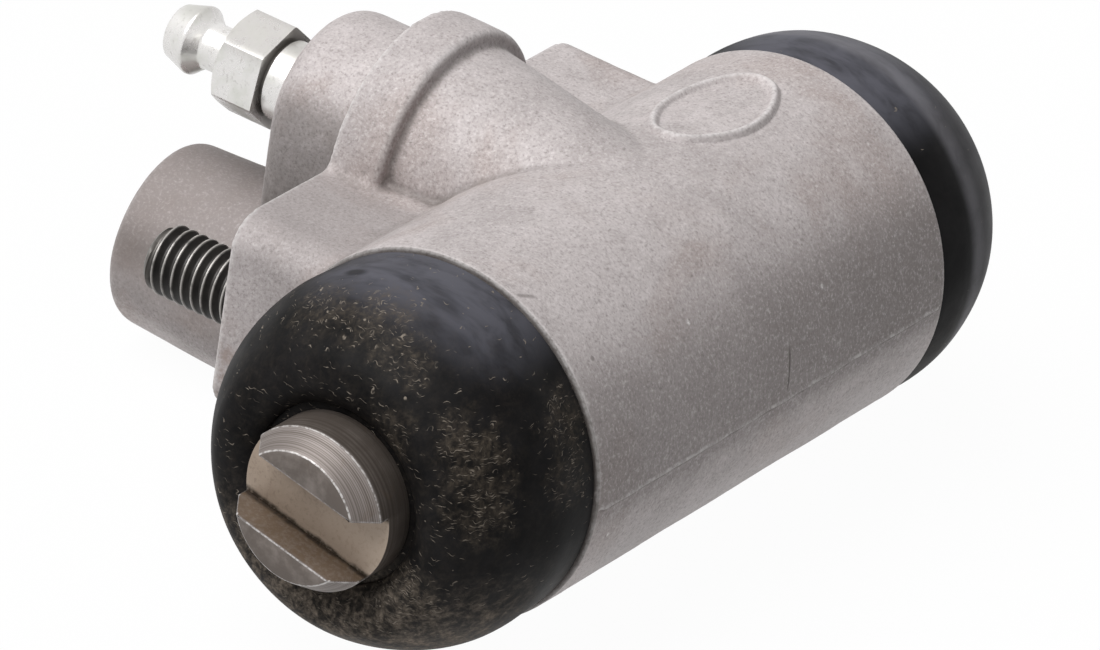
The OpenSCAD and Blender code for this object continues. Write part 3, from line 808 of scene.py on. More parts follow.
@dataclass(frozen=True)
class BootRubber:
    """Black moulded rubber with a painted bluish sheen on top and a painted sheen on the far boot's
    dome, brown dust and pale curled lint.

    Attributes:
        patches: Middles of the lint's patches on the near boot, with their radius and weight.
        lies: Direction of each layer of fibres, and a shift that makes the layers differ.
    """

    base: Colour = (0.0045, 0.0044, 0.0047)
    worn: Colour = (0.0105, 0.0100, 0.0105)
    top_sheen: Colour = (0.088, 0.088, 0.104)
    dome_sheen: Colour = (0.200, 0.195, 0.212)
    dust: Colour = (0.085, 0.069, 0.053)
    lint: Colour = (0.205, 0.176, 0.145)
    silt: Colour = (0.225, 0.186, 0.150)
    patches: tuple[tuple[Colour, float, float], ...] = (
        ((-0.0348, -0.0165, 0.0130), 0.0042, 0.75),
        ((-0.0346, -0.0215, 0.0144), 0.0046, 0.95),
        ((-0.0362, -0.0253, 0.0132), 0.0036, 0.85),
        ((-0.0367, -0.0330, 0.0078), 0.0046, 1.00),
        ((-0.0368, -0.0350, 0.0040), 0.0048, 0.95),
        ((-0.0391, -0.0276, 0.0082), 0.0030, 0.75),
        ((-0.0392, -0.0305, -0.0060), 0.0050, 0.85),
        ((-0.0390, -0.0250, -0.0090), 0.0042, 0.60),
        ((-0.0270, -0.0355, 0.0082), 0.0042, 0.85),
        ((-0.0285, -0.0372, 0.0045), 0.0042, 0.75),
    )
    lies: tuple[Point2, ...] = ((0.5, 3.1), (1.6, 7.7), (2.5, 1.3), (-0.4, 5.2), (1.1, 9.4),
                                (2.0, 4.4))

    def fibres(self, g: Graph, at: Socket, share: Socket) -> list[Socket]:
        """Short curled fibres in layers that lie different ways on the boot's face.

        Args:
            g: The material's graph.
            at: Object coordinates.
            share: Share of the places that hold a fibre.

        Returns:
            For each layer, 1 on a fibre and 0 beside it.
        """
        curl = g.node("TexNoise", {"Vector": at, "Scale": 1100.0, "Detail": 1.0}).outputs[1]
        bent = g.node("VectorMath", {0: curl, 1: (0.0012, 0.0012, 0.0012)}, operation="MULTIPLY")
        where = g.node("VectorMath", {0: at, 1: bent.outputs[0]}, operation="ADD").outputs[0]
        layers = []
        for turn, move in self.lies:
            lying = g.moved(where, move=(move, move * 1.7, move * 0.6), turn=(turn, 0.0, 0.0),
                            stretch=(1050.0, 1000.0, 9000.0))
            far, chance = g.cells(lying, 1.0)
            layers.append(g.times(g.band(far, 0.36, 0.12), g.math("LESS_THAN", chance, share)))
        return layers

    def lint_share(self, g: Graph, at: Socket, radius: Socket) -> Socket:
        """How thick the lint lies: in patches on the near boot, and thinly everywhere.

        Args:
            g: The material's graph.
            at: Object coordinates.
            radius: Distance from the bore axis.

        Returns:
            0 on clean rubber and 1 in the middle of a patch.
        """
        ragged = g.times(g.less(g.noise(at, 420.0, 4.0, 0.65), 0.5), 0.0065)
        thin = g.times(g.span(radius, 7.0, 15.2, 0.16, 0.07),
                       g.span(g.split(at)[0], 0.0, -1.0, 0.12, 1.0))
        thick = [g.band(g.plus(g.far(at, middle), ragged), reach, reach * 0.25, 0.0, weight)
                 for middle, reach, weight in self.patches]
        return g.most(thin, *thick)

    def material(self) -> Finish:
        """Builds the finish on Object coordinates.

        Returns:
            The finished material.
        """
        g = Graph("boot_rubber")
        at = g.coords()
        x, _, z, radius = g.round_bore(at)
        cloud = g.noise(at, 190.0, 4.0, 0.6)
        fine = g.noise(at, 2600.0, 3.0, 0.6)
        streak = g.noise(g.moved(at, stretch=(1.0, 0.35, 1.0)), 480.0, 3.0, 0.6, 0.4)
        # Painted sheen: a bluish highlight along the top of both boots.
        top = g.times(g.span(z, 11.0, 15.2), g.span(g.size(x), 36.5, 30.0),
                      g.band(streak, 0.25, 0.62, 0.40, 0.95))
        # Painted reflection: a pale sheen on the far boot's dome.
        dome = g.times(g.span(x, 28.5, 30.0), g.span(x, 32.0, 30.2, 0.40, 1.0),
                       g.span(z, -9.0, -1.0, 0.75, 0.50), g.band(streak, 0.25, 0.62, 0.7, 1.0))
        dent = g.far(g.moved(at, stretch=(1.0, 0.5, 1.0)), (-0.0302, -0.0081, 0.0144))
        share = self.lint_share(g, at, radius)
        film = g.times(g.band(g.noise(at, 900.0, 5.0, 0.7, 0.4), 0.34, 0.74, 0.06, 1.0),
                       g.band(fine, 0.32, 0.66, 0.3, 1.0))
        silted = g.times(film, g.times(g.span(z, -1.0, -11.0, 0.02, 0.95),
                                       g.span(x, -28.0, -34.0, 0.25, 1.0)))
        far, chance = g.cells(g.moved(at, move=(0.7, 0.2, 0.9)), 2300.0)
        speck = g.times(g.band(far, 0.26, 0.12),
                        g.math("LESS_THAN", chance, g.times(share, 0.06)))
        lint = g.times(g.most(*self.fibres(g, at, g.times(share, 0.18)), speck),
                       g.band(g.noise(at, 1500.0, 2.0), 0.35, 0.60, 0.30, 1.0))
        colour = g.coats(
            g.mix(g.band(cloud, 0.38, 0.70), self.base, self.worn),
            # Painted sheen on top.
            (top, self.top_sheen),
            # Painted reflection on the far boot's dome.
            (dome, self.dome_sheen),
            # Painted shade: a dent on the near boot's top, where the painted sheen breaks.
            (g.span(dent, 0.9, 0.3, 0.0, 0.75), self.base),
            (g.times(film, g.times(share, 0.80)), self.dust),
            (silted, self.silt),
            (lint, self.lint),
        )
        rough = g.plus(g.band(cloud, 0.3, 0.7, 0.54, 0.46), g.times(silted, 0.25))
        height = g.plus(g.times(fine, 0.35), g.times(lint, 0.8))
        return g.shade(Base_Color=colour, Roughness=rough, Specular_IOR_Level=0.045,
                       Normal=g.bump(height, 0.05 * MM, 0.6))


@dataclass(frozen=True)
class CupRubber:
    """Wet black seal rubber."""

    base: Colour = (0.018, 0.018, 0.020)
    film: Colour = (0.045, 0.040, 0.034)

    def material(self) -> Finish:
        """Builds the finish.

        Returns:
            The finished material.
        """
        g = Graph("cup_rubber")
        at = g.coords()
        cloud = g.noise(at, 300.0, 4.0)
        return g.shade(Base_Color=g.mix(g.band(cloud, 0.45, 0.7), self.base, self.film),
                       Roughness=g.band(cloud, 0.3, 0.7, 0.30, 0.45),
                       Normal=g.bump(g.noise(at, 2500.0), 0.02 * MM, 0.5))


@dataclass(frozen=True)
class SpringSteel:
    """Drawn wire and pressed sheet, lightly oiled."""

    base: Colour = (0.30, 0.31, 0.33)
    pale: Colour = (0.42, 0.43, 0.45)

    def material(self) -> Finish:
        """Builds the finish.

        Returns:
            The finished material.
        """
        g = Graph("spring_steel")
        drawn = g.noise(g.moved(g.coords(), stretch=(4.0, 1.0, 1.0)), 1200.0, 3.0)
        return g.shade(Base_Color=g.mix(g.band(drawn, 0.35, 0.65), self.base, self.pale),
                       Metallic=0.9, Roughness=g.band(drawn, 0.3, 0.7, 0.28, 0.40),
                       Normal=g.bump(drawn, 0.01 * MM, 0.5))


@dataclass(frozen=True)
class ZincPlate:
    """Bright plated screw, a little yellow in places."""

    base: Colour = (0.74, 0.725, 0.71)
    tint: Colour = (0.60, 0.605, 0.555)
    dull_and_shade: Colour = (0.44, 0.42, 0.40)
    grime: Colour = (0.09, 0.08, 0.07)

    def material(self) -> Finish:
        """Builds the finish, with rings round the screw's axis.

        Returns:
            The finished material.
        """
        g = Graph("zinc_plate")
        at = g.coords()
        _, y, z = g.split(at)
        ring = g.line_noise(y, 5200.0)
        cloud = g.noise(at, 380.0, 4.0, 0.6)
        fine = g.noise(at, 2400.0, 3.0, 0.6)
        colour = g.coats(
            g.mix(g.band(cloud, 0.45, 0.68, 0.0, 0.7), self.base, self.tint),
            # Painted shade: the screw's upper faces are darker.
            (g.span(z, 10.6, 12.2, 0.0, 0.60), self.dull_and_shade),
            (g.band(fine, 0.56, 0.72, 0.0, 0.5), self.dull_and_shade),
            # Painted shade in the relief under the hexagon.
            (g.times(g.layer("grime"), 0.85), self.grime),
        )
        height = g.plus(g.times(ring, 0.3), g.times(fine, 0.5))
        return g.shade(Base_Color=colour, Metallic=0.75,
                       Roughness=g.band(cloud, 0.3, 0.7, 0.24, 0.34),
                       Normal=g.bump(height, 0.025 * MM, 0.6))


@dataclass(frozen=True)
class BlackOxide:
    """Blackened stud thread with rubbed crests."""

    base: Colour = (0.020, 0.018, 0.017)
    worn: Colour = (0.045, 0.040, 0.036)
    rubbed: Colour = (0.37, 0.352, 0.334)
    end: Colour = (0.14, 0.13, 0.12)

    def material(self) -> Finish:
        """Builds the finish; the radius is taken from the nearer stud's axis.

        Returns:
            The finished material.
        """
        g = Graph("black_oxide")
        at = g.coords()
        x, y, z = g.split(at)
        radius = g.reach(g.less(g.size(x), STUD_X), z)
        cloud = g.noise(at, 700.0, 4.0, 0.6)
        crest = g.times(g.span(radius, 2.86, 2.98), g.band(cloud, 0.30, 0.55, 0.25, 0.85))
        colour = g.coats(g.mix(g.band(cloud, 0.4, 0.7, 0.0, 0.5), self.base, self.worn),
                         (g.span(y, 9.35, 9.50, 0.0, 0.8), self.end), (crest, self.rubbed))
        return g.shade(Base_Color=colour, Metallic=0.45,
                       Roughness=g.band(cloud, 0.3, 0.7, 0.36, 0.50),
                       Normal=g.bump(g.noise(at, 3000.0), 0.02 * MM, 0.5))


# Pieces


@dataclass
class HousingCasting:
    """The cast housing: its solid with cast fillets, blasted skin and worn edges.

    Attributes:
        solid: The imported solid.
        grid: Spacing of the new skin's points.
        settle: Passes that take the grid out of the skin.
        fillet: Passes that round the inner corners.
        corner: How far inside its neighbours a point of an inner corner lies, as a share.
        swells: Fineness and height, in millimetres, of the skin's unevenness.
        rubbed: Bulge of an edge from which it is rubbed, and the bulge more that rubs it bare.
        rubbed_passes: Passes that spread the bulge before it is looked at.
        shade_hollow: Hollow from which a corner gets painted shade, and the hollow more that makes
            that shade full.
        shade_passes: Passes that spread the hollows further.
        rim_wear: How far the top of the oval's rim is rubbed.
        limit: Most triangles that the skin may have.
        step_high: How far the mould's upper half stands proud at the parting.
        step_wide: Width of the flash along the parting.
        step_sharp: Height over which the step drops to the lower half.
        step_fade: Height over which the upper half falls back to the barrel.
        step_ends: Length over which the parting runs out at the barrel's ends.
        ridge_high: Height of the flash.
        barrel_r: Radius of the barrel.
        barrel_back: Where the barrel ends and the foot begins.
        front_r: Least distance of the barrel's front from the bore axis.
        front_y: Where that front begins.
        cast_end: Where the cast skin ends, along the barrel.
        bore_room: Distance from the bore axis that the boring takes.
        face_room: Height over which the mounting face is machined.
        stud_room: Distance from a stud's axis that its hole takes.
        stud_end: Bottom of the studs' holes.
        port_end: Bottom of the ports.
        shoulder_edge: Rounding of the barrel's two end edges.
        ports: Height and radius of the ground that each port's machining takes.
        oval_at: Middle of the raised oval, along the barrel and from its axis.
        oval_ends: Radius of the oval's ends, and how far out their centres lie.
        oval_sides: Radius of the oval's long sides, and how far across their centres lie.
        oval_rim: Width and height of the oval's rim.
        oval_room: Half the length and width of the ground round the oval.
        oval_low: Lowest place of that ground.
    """

    solid: Piece
    grid: float = 0.22 * MM
    settle: int = 3
    fillet: int = 3
    corner: float = 0.10
    swells: tuple[Point2, ...] = ((170.0, 0.05), (700.0, 0.016))
    rubbed: Point2 = (0.030, 0.085)
    rubbed_passes: int = 4
    shade_hollow: Point2 = (0.014, 0.034)
    shade_passes: int = 9
    rim_wear: float = 0.55
    limit: int = 190_000
    step_high: float = 0.10 * MM
    step_wide: float = 0.35 * MM
    step_sharp: float = 0.10 * MM
    step_fade: float = 5.0 * MM
    step_ends: float = 0.8 * MM
    ridge_high: float = 0.09 * MM
    barrel_r: float = 15.8 * MM
    barrel_back: float = -12.5 * MM
    front_r: float = 15.0 * MM
    front_y: float = -30.0 * MM
    cast_end: float = 24.4 * MM
    bore_room: float = 11.0 * MM
    face_room: float = 0.25 * MM
    stud_room: float = 3.2 * MM
    stud_end: float = -9.0 * MM
    port_end: float = -13.0 * MM
    shoulder_edge: float = 0.18 * MM
    ports: tuple[Point2, ...] = ((BLEED_Z, 4.2 * MM), (INLET_Z, 5.6 * MM))
    oval_at: Point2 = (12.2 * MM, 1.2 * MM)
    oval_ends: Point2 = (3.0 * MM, 4.5 * MM)
    oval_sides: Point2 = (10.5 * MM, 6.0 * MM)
    oval_rim: Point2 = (1.20 * MM, 0.46 * MM)
    oval_room: Point2 = (8.6 * MM, 5.6 * MM)
    oval_low: float = 13.0 * MM

    def build(self, finish: Finish) -> Piece:
        """Makes the skin and dresses it.

        Args:
            finish: Material of the casting.

        Returns:
            The casting.
        """
        obj = self.skin(finish)
        self.soften(obj)
        self.layers(obj)
        self.thin(obj)
        obj.data.shade_smooth()
        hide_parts("cylinder_housing")
        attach(obj, "housing")
        return report(obj)

    def skin(self, finish: Finish) -> Piece:
        """Copies the solid and lays an even grid of points over it.

        Args:
            finish: Material of the casting.

        Returns:
            The casting with an even skin.
        """
        bm = bmesh.new()
        bm.from_mesh(self.solid.data)
        bmesh.ops.remove_doubles(bm, verts=bm.verts[:], dist=1e-6)
        obj = place(bm, "housing_casting", finish)
        remesh = obj.modifiers.new("skin", "REMESH")
        remesh.mode = "VOXEL"
        remesh.voxel_size = self.grid
        bake(obj)
        return obj

    def soften(self, obj: Piece) -> None:
        """Settles the skin, rounds its inner corners and gives it a cast unevenness.

        Args:
            obj: The casting.
        """
        bm = bmesh.new()
        bm.from_mesh(obj.data)
        relax(bm, bm.verts[:], self.settle)

        def free(v: BMVert) -> bool:
            """Whether a point is on cast skin beside the oval."""
            return self.is_cast(v.co) and not self.on_oval(v.co)

        corner = {v for v in bm.verts if free(v) and self.hollow(v) > self.corner}
        for _ in range(2):
            corner |= {e.other_vert(v) for v in corner for e in v.link_edges}
        relax(bm, [v for v in corner if free(v)], self.fillet)
        for v in bm.verts:
            if self.is_cast(v.co):
                swell = sum(noise.noise(v.co * fine) * high for fine, high in self.swells)
                v.co += v.normal * (swell * MM)
        self.mould_step(bm)
        self.raise_oval(bm)
        self.true_shoulders(bm)
        bm.to_mesh(obj.data)
        bm.free()

    def mould_step(self, bm: BMesh) -> None:
        """Lets the mould's upper half stand a little proud of the lower one, front of the barrel.

        Args:
            bm: The casting's mesh.
        """
        front = [f for f in bm.faces if self.on_front(f.calc_center_median(), 1.2 * MM)]
        for level in (self.step_wide, 0.0, -self.step_sharp):
            around = {e for f in front for e in f.edges} | {v for f in front for v in f.verts}
            cut = bmesh.ops.bisect_plane(bm, geom=front + list(around), dist=1e-6,
                                         plane_co=Vector((0.0, 0.0, level)),
                                         plane_no=Vector((0.0, 0.0, 1.0)))
            front = [f for f in cut["geom"] if isinstance(f, bmesh.types.BMFace)]
        for v in bm.verts:
            if not self.on_front(v.co, 6.0 * MM) or v.co.z < -1e-6:
                continue
            fade = max(0.0, 1.0 - v.co.z / self.step_fade)
            ridge = max(0.0, 1.0 - v.co.z / self.step_wide)
            ends = min(1.0, (self.cast_end - abs(v.co.x)) / self.step_ends)
            rough = 0.75 + 0.5 * noise.noise(Vector((v.co.x * 420.0, 0.0, 0.0)))
            lift = (self.step_high * fade * fade + self.ridge_high * ridge) * ends * rough
            v.co += bore_way(v.co).normalized() * max(lift, 0.0)

    def raise_oval(self, bm: BMesh) -> None:
        """Draws the oval's rounded rim on the barrel, as crisp as the mould leaves it.

        Args:
            bm: The casting's mesh.
        """
        half = self.oval_rim[0] / 2.0

        def beside(p: Vector) -> bool:
            """Whether a point lies on the barrel within reach of the rim."""
            return (self.on_oval(p) and abs(self.from_oval(p)) < 2.0 * half
                    and abs(bore_far(p) - self.barrel_r) < 0.6 * MM)

        rim = [e for e in bm.edges if beside(e.verts[0].co) and beside(e.verts[1].co)]
        bmesh.ops.subdivide_edges(bm, edges=rim, cuts=1, use_grid_fill=True)
        for v in bm.verts:
            if beside(v.co):
                off = abs(self.from_oval(v.co)) / half
                rise = max(0.0, 1.0 - off * off) ** 1.5
                out = bore_way(v.co)
                share = min(1.0, max(0.0, (2.0 - off) / 0.6))
                lift = self.barrel_r + self.oval_rim[1] * rise - out.length
                v.co += out.normalized() * (lift * share)

    def from_oval(self, p: Vector) -> float:
        """Distance of a point from the middle of the oval's rim, seen from above.

        Args:
            p: The point.

        Returns:
            The distance, below 0 inside the rim.
        """
        u, w = abs(p.x - self.oval_at[0]), abs(p.y - BORE_AXIS_Y - self.oval_at[1])
        end_r, end_x = self.oval_ends
        side_r, side_y = self.oval_sides
        if end_x * (w + side_y) < side_y * u:
            outside = math.hypot(u - end_x, w) - end_r
        else:
            outside = math.hypot(u, w + side_y) - side_r
        return outside + self.oval_rim[0] / 2.0

    def true_shoulders(self, bm: BMesh) -> None:
        """Brings the barrel's two end edges to one even rounding.

        Args:
            bm: The casting's mesh.
        """
        edge = self.shoulder_edge
        for v in bm.verts:
            reach, out = abs(v.co.x), bore_way(v.co)
            if abs(out.length - self.barrel_r) >= 0.8 * MM or abs(reach - SHOULDER) >= 0.7 * MM:
                continue
            past_r, past_x = out.length - self.barrel_r + edge, reach - SHOULDER + edge
            if past_r > 0.0 and past_x > 0.0:
                far = math.hypot(past_r, past_x)
                past_r, past_x = past_r * edge / far, past_x * edge / far
            elif past_r > past_x:
                past_r = edge
            else:
                past_x = edge
            r = self.barrel_r - edge + past_r
            way = out.normalized()
            v.co = Vector((math.copysign(SHOULDER - edge + past_x, v.co.x),
                           BORE_AXIS_Y + way.y * r, way.z * r))

    def on_front(self, p: Vector, reach: float) -> bool:
        """Whether a point lies on the front of the barrel, within reach of the parting."""
        skin = bore_far(p) > self.front_r and p.y < self.front_y
        return skin and abs(p.z) < reach and abs(p.x) < self.cast_end

    def on_oval(self, p: Vector) -> bool:
        """Whether a point is on or beside the raised oval."""
        return (abs(p.x - self.oval_at[0]) < self.oval_room[0]
                and abs(p.y - BORE_AXIS_Y - self.oval_at[1]) < self.oval_room[1]
                and p.z > self.oval_low)

    @staticmethod
    def hollow(v: BMVert) -> float:
        """How far a point lies inside its neighbours.

        Args:
            v: Point of the skin.

        Returns:
            The depth as a share of the neighbours' distance.
        """
        near = [e.other_vert(v).co for e in v.link_edges]
        middle = sum(near, Vector()) / len(near)
        reach = sum((p - v.co).length for p in near) / len(near)
        return (middle - v.co).dot(v.normal) / max(reach, 1e-9)

    def is_cast(self, p: Vector) -> bool:
        """Whether a point is on the cast skin.

        Args:
            p: The point.

        Returns:
            False on a turned, drilled or faced surface.
        """
        nose = abs(p.x) > self.cast_end
        bore = bore_far(p) < self.bore_room and p.y < self.barrel_back
        face = abs(p.y) < self.face_room
        port = p.y > self.port_end and any(math.hypot(p.x, p.z - z) < r for z, r in self.ports)
        stud = math.hypot(abs(p.x) - STUD_X, p.z) < self.stud_room and p.y > self.stud_end
        return not (nose or bore or face or port or stud)

    def layers(self, obj: Piece) -> None:
        """Stores where edges are rubbed, where corners get painted shade and what is machined.

        Args:
            obj: The casting.
        """
        mesh = obj.data
        count = len(mesh.vertices)
        co = read_rows(mesh.vertices, "co", 3, np.float32)
        normal = read_rows(mesh.vertex_normals, "vector", 3, np.float32)
        a, b = read_rows(mesh.edges, "vertices", 2, np.int32).T
        degree = np.bincount(a, minlength=count) + np.bincount(b, minlength=count)

        def around(values: np.ndarray) -> np.ndarray:
            """Mean of the neighbours' values."""
            total = np.bincount(a, values[b], count) + np.bincount(b, values[a], count)
            return total / np.maximum(degree, 1)

        middle = np.stack([around(co[:, i]) for i in range(3)], axis=1)
        bulge = ((co - middle) * normal).sum(1) / self.grid
        for _ in range(self.rubbed_passes):
            bulge = 0.4 * bulge + 0.6 * around(bulge)
        wide = bulge
        for _ in range(self.shade_passes):
            wide = 0.3 * wide + 0.7 * around(wide)
        x, y, z = co.T
        faced = (np.abs(normal[:, 1]) > 0.97) & ((np.abs(y) < 0.4 * MM) | (y > 21.6 * MM))
        bored = (np.hypot(y - BORE_AXIS_Y, z) < 10.4 * MM) & (y < self.barrel_back)
        inlet = (np.hypot(x, z - INLET_Z) < 5.3 * MM) & (y > 8.0 * MM)
        tooled = faced | (np.abs(x) > 24.75 * MM) | bored | inlet
        edges = np.clip((bulge - self.rubbed[0]) / self.rubbed[1], 0.0, 1.0)
        found = {
            "wear": np.maximum(edges, self.rim_wear * self.on_rim(co)),
            # Painted shade for the hollow corners.
            "cavity": np.clip((-wide - self.shade_hollow[0]) / self.shade_hollow[1], 0.0, 1.0),
            "machined": around(tooled.astype(np.float64)),
        }
        for name, values in found.items():
            layer = mesh.attributes.new(name, "FLOAT", "POINT")
            layer.data.foreach_set("value", values.astype(np.float32))

    def on_rim(self, co: np.ndarray) -> np.ndarray:
        """How near the skin's points are to the top of the oval's rim.

        Args:
            co: Places of the points.

        Returns:
            1 on the rim's top and 0 beside it.
        """
        share = np.zeros(len(co))
        for i in np.flatnonzero(co[:, 2] > self.oval_low):
            p = Vector(co[i])
            if self.on_oval(p):
                share[i] = max(0.0, 1.0 - abs(self.from_oval(p)) / (0.30 * self.oval_rim[0]))
        return share

    def thin(self, obj: Piece) -> None:
        """Brings the skin under its limit of triangles.

        Args:
            obj: The casting.
        """
        count = triangles(obj)
        if count > self.limit:
            thin = obj.modifiers.new("thin", "DECIMATE")
            thin.ratio = self.limit / count
            bake(obj)


@dataclass
class InletThread:
    """Thread inside the inlet spigot.

    Attributes:
        major: Radius at the thread's roots, in the spigot.
        minor: Radius at its crests.
        pitch: Advance for one turn.
        start: Place of its inner end, from the mounting face.
        turns: Number of turns.
        per_turn: Segments in one turn.
    """

    major: float = 5.12 * MM
    minor: float = 4.46 * MM
    pitch: float = 1.0 * MM
    start: float = 9.6 * MM
    turns: int = 11
    per_turn: int = 48

    def build(self, finish: Finish) -> Piece:
        """Winds the thread.

        Args:
            finish: Material of the casting.

        Returns:
            The thread.
        """
        rows = ((self.major, 0.02), (self.minor, 0.44), (self.minor, 0.56), (self.major, 0.98))
        section = [(r, self.start + share * self.pitch) for r, share in rows]
        bm = helix(section, Vector((0.0, 0.0, INLET_Z)), Axis.PLATE, self.pitch, self.turns,
                   self.per_turn, True)
        obj = place(bm, "inlet_thread", finish, 50.0)
        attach(obj, "housing")
        return report(obj)


@dataclass
class DustBoot:
    """A rubber boot from the groove in the nose to the groove in the stem.

    Attributes:
        side: End of the barrel that it closes.
        steps: Segments round the bore.
        still_r: Radius up to which the moulded face is true.
        follow_end: Where the boot would move with the stem in full; not used.
    """

    side: Side
    steps: int = 144
    gap: float = 0.05 * MM
    outer_r: float = 15.7 * MM
    rim_in: float = 0.2 * MM
    bead_r: float = 12.35 * MM
    seat_r: float = 13.25 * MM
    bead_end: float = 26.6 * MM
    band_end: float = 27.65 * MM
    dome_r: float = 13.9 * MM
    dome_turn: float = 42.0
    face_r: float = 3.0 * MM
    wall: float = 1.6 * MM
    recess_r: float = 7.65 * MM
    grip_r: float = 6.2 * MM
    lip_w: float = 2.0 * MM
    lip_inset: float = 1.3 * MM
    edge: float = 0.35 * MM
    still_r: float = 8.4 * MM
    follow_end: float = 34.4 * MM

    def section(self) -> list[Point2]:
        """Draws the boot's section.

        Returns:
            Points as (radius, place), on the right side.
        """
        dome_c = (self.outer_r - self.dome_r, self.band_end + self.side.out)
        swing = self.dome_r - self.face_r
        turn = math.radians(self.dome_turn)
        face_c = (dome_c[0] + swing * math.cos(turn), dome_c[1] + swing * math.sin(turn))
        lip_out = face_c[1] + self.face_r - self.lip_inset - self.gap
        lip_in = lip_out - self.lip_w + 2.0 * self.gap
        bend = self.face_r - self.edge
        brim = 90.0 + math.degrees(math.asin((face_c[0] - self.recess_r - self.edge) / bend))
        brim_s = face_c[1] + bend * math.sin(math.radians(brim))
        start = SHOULDER + self.gap
        rim = self.outer_r - self.rim_in
        return [
            (self.bead_r, start),
            *arc((rim - self.edge, start + self.edge), self.edge, -90.0, 0.0, 4),
            *((rim + self.rim_in * t, start + (dome_c[1] - start) * t) for t in (0.4, 0.7)),
            *arc(dome_c, self.dome_r, 0.0, self.dome_turn, 22),
            *arc(face_c, self.face_r, self.dome_turn + 4.0, brim, 18),
            *arc((self.recess_r + self.edge, brim_s), self.edge, brim + 8.0, 180.0, 4),
            (self.recess_r - 0.05 * MM, lip_out), (self.grip_r, lip_out), (self.grip_r, lip_in),
            *arc(face_c, self.face_r - self.wall, (self.dome_turn + 90.0) / 2.0,
                 self.dome_turn + 5.0, 3),
            *arc(dome_c, self.dome_r - self.wall, self.dome_turn, 0.0, 14),
            (self.seat_r, dome_c[1]), (self.seat_r, self.bead_end), (self.bead_r, self.bead_end),
        ]

    def build(self, finish: Finish) -> Piece:
        """Spins the boot and gives it a moulded unevenness.

        Args:
            finish: Rubber of the boot.

        Returns:
            The boot.
        """
        label, sign = self.side.label, self.side.value
        section = self.side.flip(self.section())
        bm = lathe(section, BORE_CENTRE, Axis.BORE, self.steps, closed=True)
        for v in bm.verts:
            self.shape(v)
        obj = place(bm, f"{label}_boot", finish, 50.0)
        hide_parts(f"{label}_dust_boot")
        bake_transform(obj)
        return report(obj)

    def shape(self, v: BMVert) -> None:
        """Moves one point of the dome a little, as moulded rubber is never quite round.

        Args:
            v: Point of the boot.
        """
        off = bore_way(v.co)
        out, past = off.length - self.still_r, abs(v.co.x) - self.band_end
        if out < 0.0 or past < 0.0:
            return
        free = min(1.0, past / (3.0 * MM)) * min(1.0, out / (2.0 * MM))
        swell = noise.noise(v.co * 120.0 + Vector((3.0, 1.0, 7.0)) * self.side.value)
        v.co += off.normalized() * (swell * free * 0.10 * MM)


